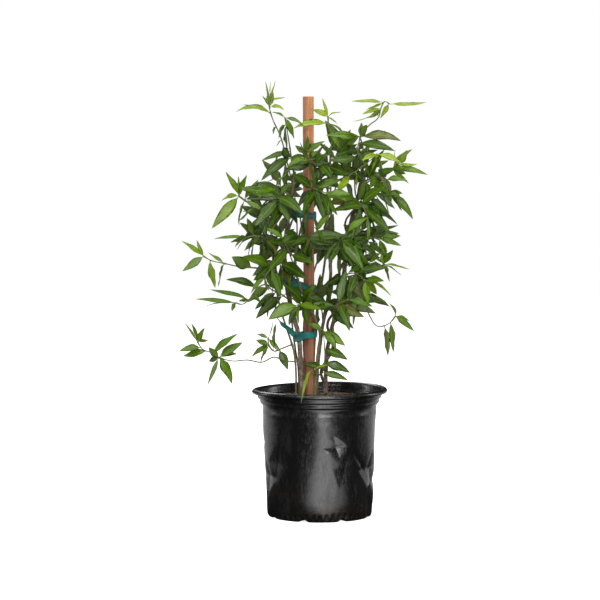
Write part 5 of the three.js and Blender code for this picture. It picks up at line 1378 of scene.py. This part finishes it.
# %% Stems
THICK_STEM = 1.7
for name, line in stem_lines.items():
    length = along(line, [0])[2]
    count = int(np.ceil(length / 3.0))
    places = np.linspace(0, 1, count + 1)
    points, directions, _ = along(line, places)
    taper = np.interp(places, [0, 0.06, 0.7, 1], [1.12, 1.0, 0.86, 0.42])
    swelling = np.zeros(count + 1)
    for shoot in [*SHOOTS.values(), *GROWN.values()]:
        if shoot["stem"] == name:
            swelling += 0.35 * np.exp(-(((points[:, 2] - shoot["height"]) / 3.5) ** 2))
    thick = stem_radius[name] > THICK_STEM
    radii = stem_radius[name] * taper * (1 + np.minimum(swelling, 0.4))
    sideways = np.stack([np.sin(points[:, 2] / 19 + len(name)), np.cos(points[:, 2] / 23), 0 * places],
                        axis=1)
    points = points + 0.35 * sideways * np.sin(np.pi * places)[:, None]
    sides, roughness = (12, 0.07) if thick else (8, 0.035)
    rings, info = tube_rings(points, directions, radii, sides, roughness, len(name))
    stem = Shape()
    stem.add(rings[None] * MM, bark=info[None])
    finish_name, slot_name = (bark_brown, "brown_bark") if thick else (bark_green, "green_bark")
    stem.build(name + "_bark", [finish_name], slot_name, [name])
    print(name, "mm long", round(float(length)), "mm across", 2 * stem_radius[name])

# %% [markdown]
# ## Leaves
# A leaf is a grid of two parameters: a share along its bow, from foot to tip, and a share across. Its half
# width is a sine hump that leans towards the foot, after a short stalk. The two halves fold up from the
# midrib, the edges ripple, and the blade twists and droops a little. All the leaves of a shoot are worked
# out together. The underside is the same sheet again, a hair's breadth lower, so each leaf is closed.

# %% Leaf shapes
ALONG = np.array([0, 0.05, 0.09, 0.16, 0.27, 0.4, 0.54, 0.68, 0.81, 0.92, 1.0])
ACROSS = np.array([-1, -0.5, 0, 0.5, 1, 0.55, 0, -0.55])
UNDERSIDE = np.array([0, 0, 0, 0, 0, 1, 1, 1])
STALK = 0.07
BLADE_THICKNESS = 0.4


def leaf_grids(frames, widths, traits):
    """Ring grids of many leaves. Frames are foot, middle, tip and across; traits are one row of ten random
    numbers for each leaf."""
    foot, middle, tip, across = (np.array([part[k] for part in frames])[:, None] for k in range(4))
    s = ALONG[None, :, None]
    points = (1 - s) ** 2 * foot + 2 * s * (1 - s) * middle + s**2 * tip
    tangent = unit(2 * (1 - s) * (middle - foot) + 2 * s * (tip - middle))
    normal = unit(np.cross(np.broadcast_to(across, tangent.shape), tangent))
    length = np.linalg.norm(tip - foot, axis=-1, keepdims=True)
    trait = [traits[:, k, None, None] for k in range(10)]
    hump = np.sin(np.pi * s)
    points = points + across * hump * length * 0.05 * (trait[0] - 0.5)
    points = points + normal * length * 0.07 * (trait[1] - 0.35) * np.sin(2 * np.pi * s) * 0.6
    twist = (trait[2] - 0.5) * 1.1 * (s - 0.15)
    wide = across * np.cos(twist) + normal * np.sin(twist)
    up = normal * np.cos(twist) - across * np.sin(twist)
    blade = np.clip((ALONG - STALK) / (1 - STALK), 0, 1)
    half = np.sin(np.pi * blade**0.82) ** 0.92 * (1 + 0.1 * np.sin(2 * np.pi * blade))
    least = np.where(ALONG < 0.5, 0.5, 0.05)[None]
    half = np.maximum(half[None] * np.array(widths)[:, None] / 2, least)[..., None]
    c, under = ACROSS[None, None], UNDERSIDE[None, None]
    lean_fold = 0.22 + 0.26 * trait[3]
    ripple = 0.16 * np.sin(2 * np.pi * (1.6 + trait[4]) * s + 6 * trait[5] + 2.2 * (c > 0)) * np.abs(c) ** 2
    curl = -0.2 * trait[6] * np.abs(c) ** 3
    lift = (lean_fold * np.abs(c) ** 1.25 + (ripple + curl) * np.abs(c)) * half
    thickness = np.minimum(BLADE_THICKNESS, 1.6 * half) * (1 - 0.6 * np.abs(c))
    lift = lift - under * thickness - np.where(ALONG[None, :, None] < 0.06, 0.45, 0) * under
    flat = c * half * (1 - 0.16 * lean_fold)
    grid = points[:, :, None] + flat[..., None] * wide[:, :, None] + lift[..., None] * up[:, :, None]
    info = np.stack(np.broadcast_arrays(s, c, under * np.ones_like(s)), axis=-1)
    info = np.broadcast_to(info, grid.shape)
    return grid, info


# %% [markdown]
# ## Leafy shoots
# Now each shoot is put together: its twig, from inside the stem's bark to a thin tip, then its leaves. Age
# decides the green: leaves near a twig's end are younger and paler, and the shoots that reach out into the
# light are younger than those in the shade of the crown.

# %% Shoots
YOUNG_SHOOTS = {"shoot_crest": 0.62, "shoot_bud": 0.6, "shoot_top_right": 0.8, "shoot_right_tip": 0.5,
                "shoot_palm": 0.85, "shoot_right_arch": 0.35, "shoot_upper_left": 0.3, "shoot_left_middle": 0.4,
                "shoot_right_middle": 0.3, "shoot_right_low": 0.2, "shoot_left_low": 0.2, "shoot_rim": 0.95,
                "shoot_front_low": 0.25, "shoot_right_base": 0.25, "shoot_left_base": 0.25}
total_leaves = 0
for name, leaves in plant.items():
    line = twig_lines[name]
    length = along(line, [0])[2]
    count = int(np.ceil(length / 3.5))
    places = np.linspace(0, 1, count + 1)
    points, directions, _ = along(line, places)
    root = twig_roots[name]
    lead = root + (points[0] - root) * np.linspace(0.2, 0.85, 4)[:, None]
    points = np.vstack([lead, points])
    directions = np.vstack([np.repeat(unit(line[0] - root)[None], 4, axis=0), directions])
    radii = np.concatenate([np.linspace(1.25, 1.0, 4), np.interp(places, [0, 0.5, 1], [0.95, 0.8, 0.5])])
    for place, _, _ in leaves:
        radii[4:] += 0.28 * np.exp(-(((places - place) * length / 2.2) ** 2))
    rings, info = tube_rings(points, directions, np.minimum(radii, 1.3), 7, 0.04, len(name))
    traits = rng.uniform(size=(len(leaves), 10))
    grids, blade = leaf_grids([leaf[1] for leaf in leaves], [leaf[2] for leaf in leaves], traits)
    at = np.array([leaf[0] for leaf in leaves])
    young = YOUNG_SHOOTS.get(name, 0.12)
    youth = np.clip(young + 0.35 * at**3 + 0.28 * (traits[:, 7] - 0.5), 0, 1)
    old = (traits[:, 8] > 0.955) * (young < 0.3)
    growth = np.broadcast_to(np.stack([youth, traits[:, 9], old], axis=1)[:, None, None], grids.shape)
    shoot_shape = Shape()
    shoot_shape.add(rings[None] * MM, bark=info[None])
    shoot_shape.add(grids * MM, slot=1, blade=blade, growth=growth)
    shoot_shape.build(name + "_leaves", [twig_skin, leaf_green], "leaf", [name])
    total_leaves += len(leaves)
print("leaves modelled", total_leaves)
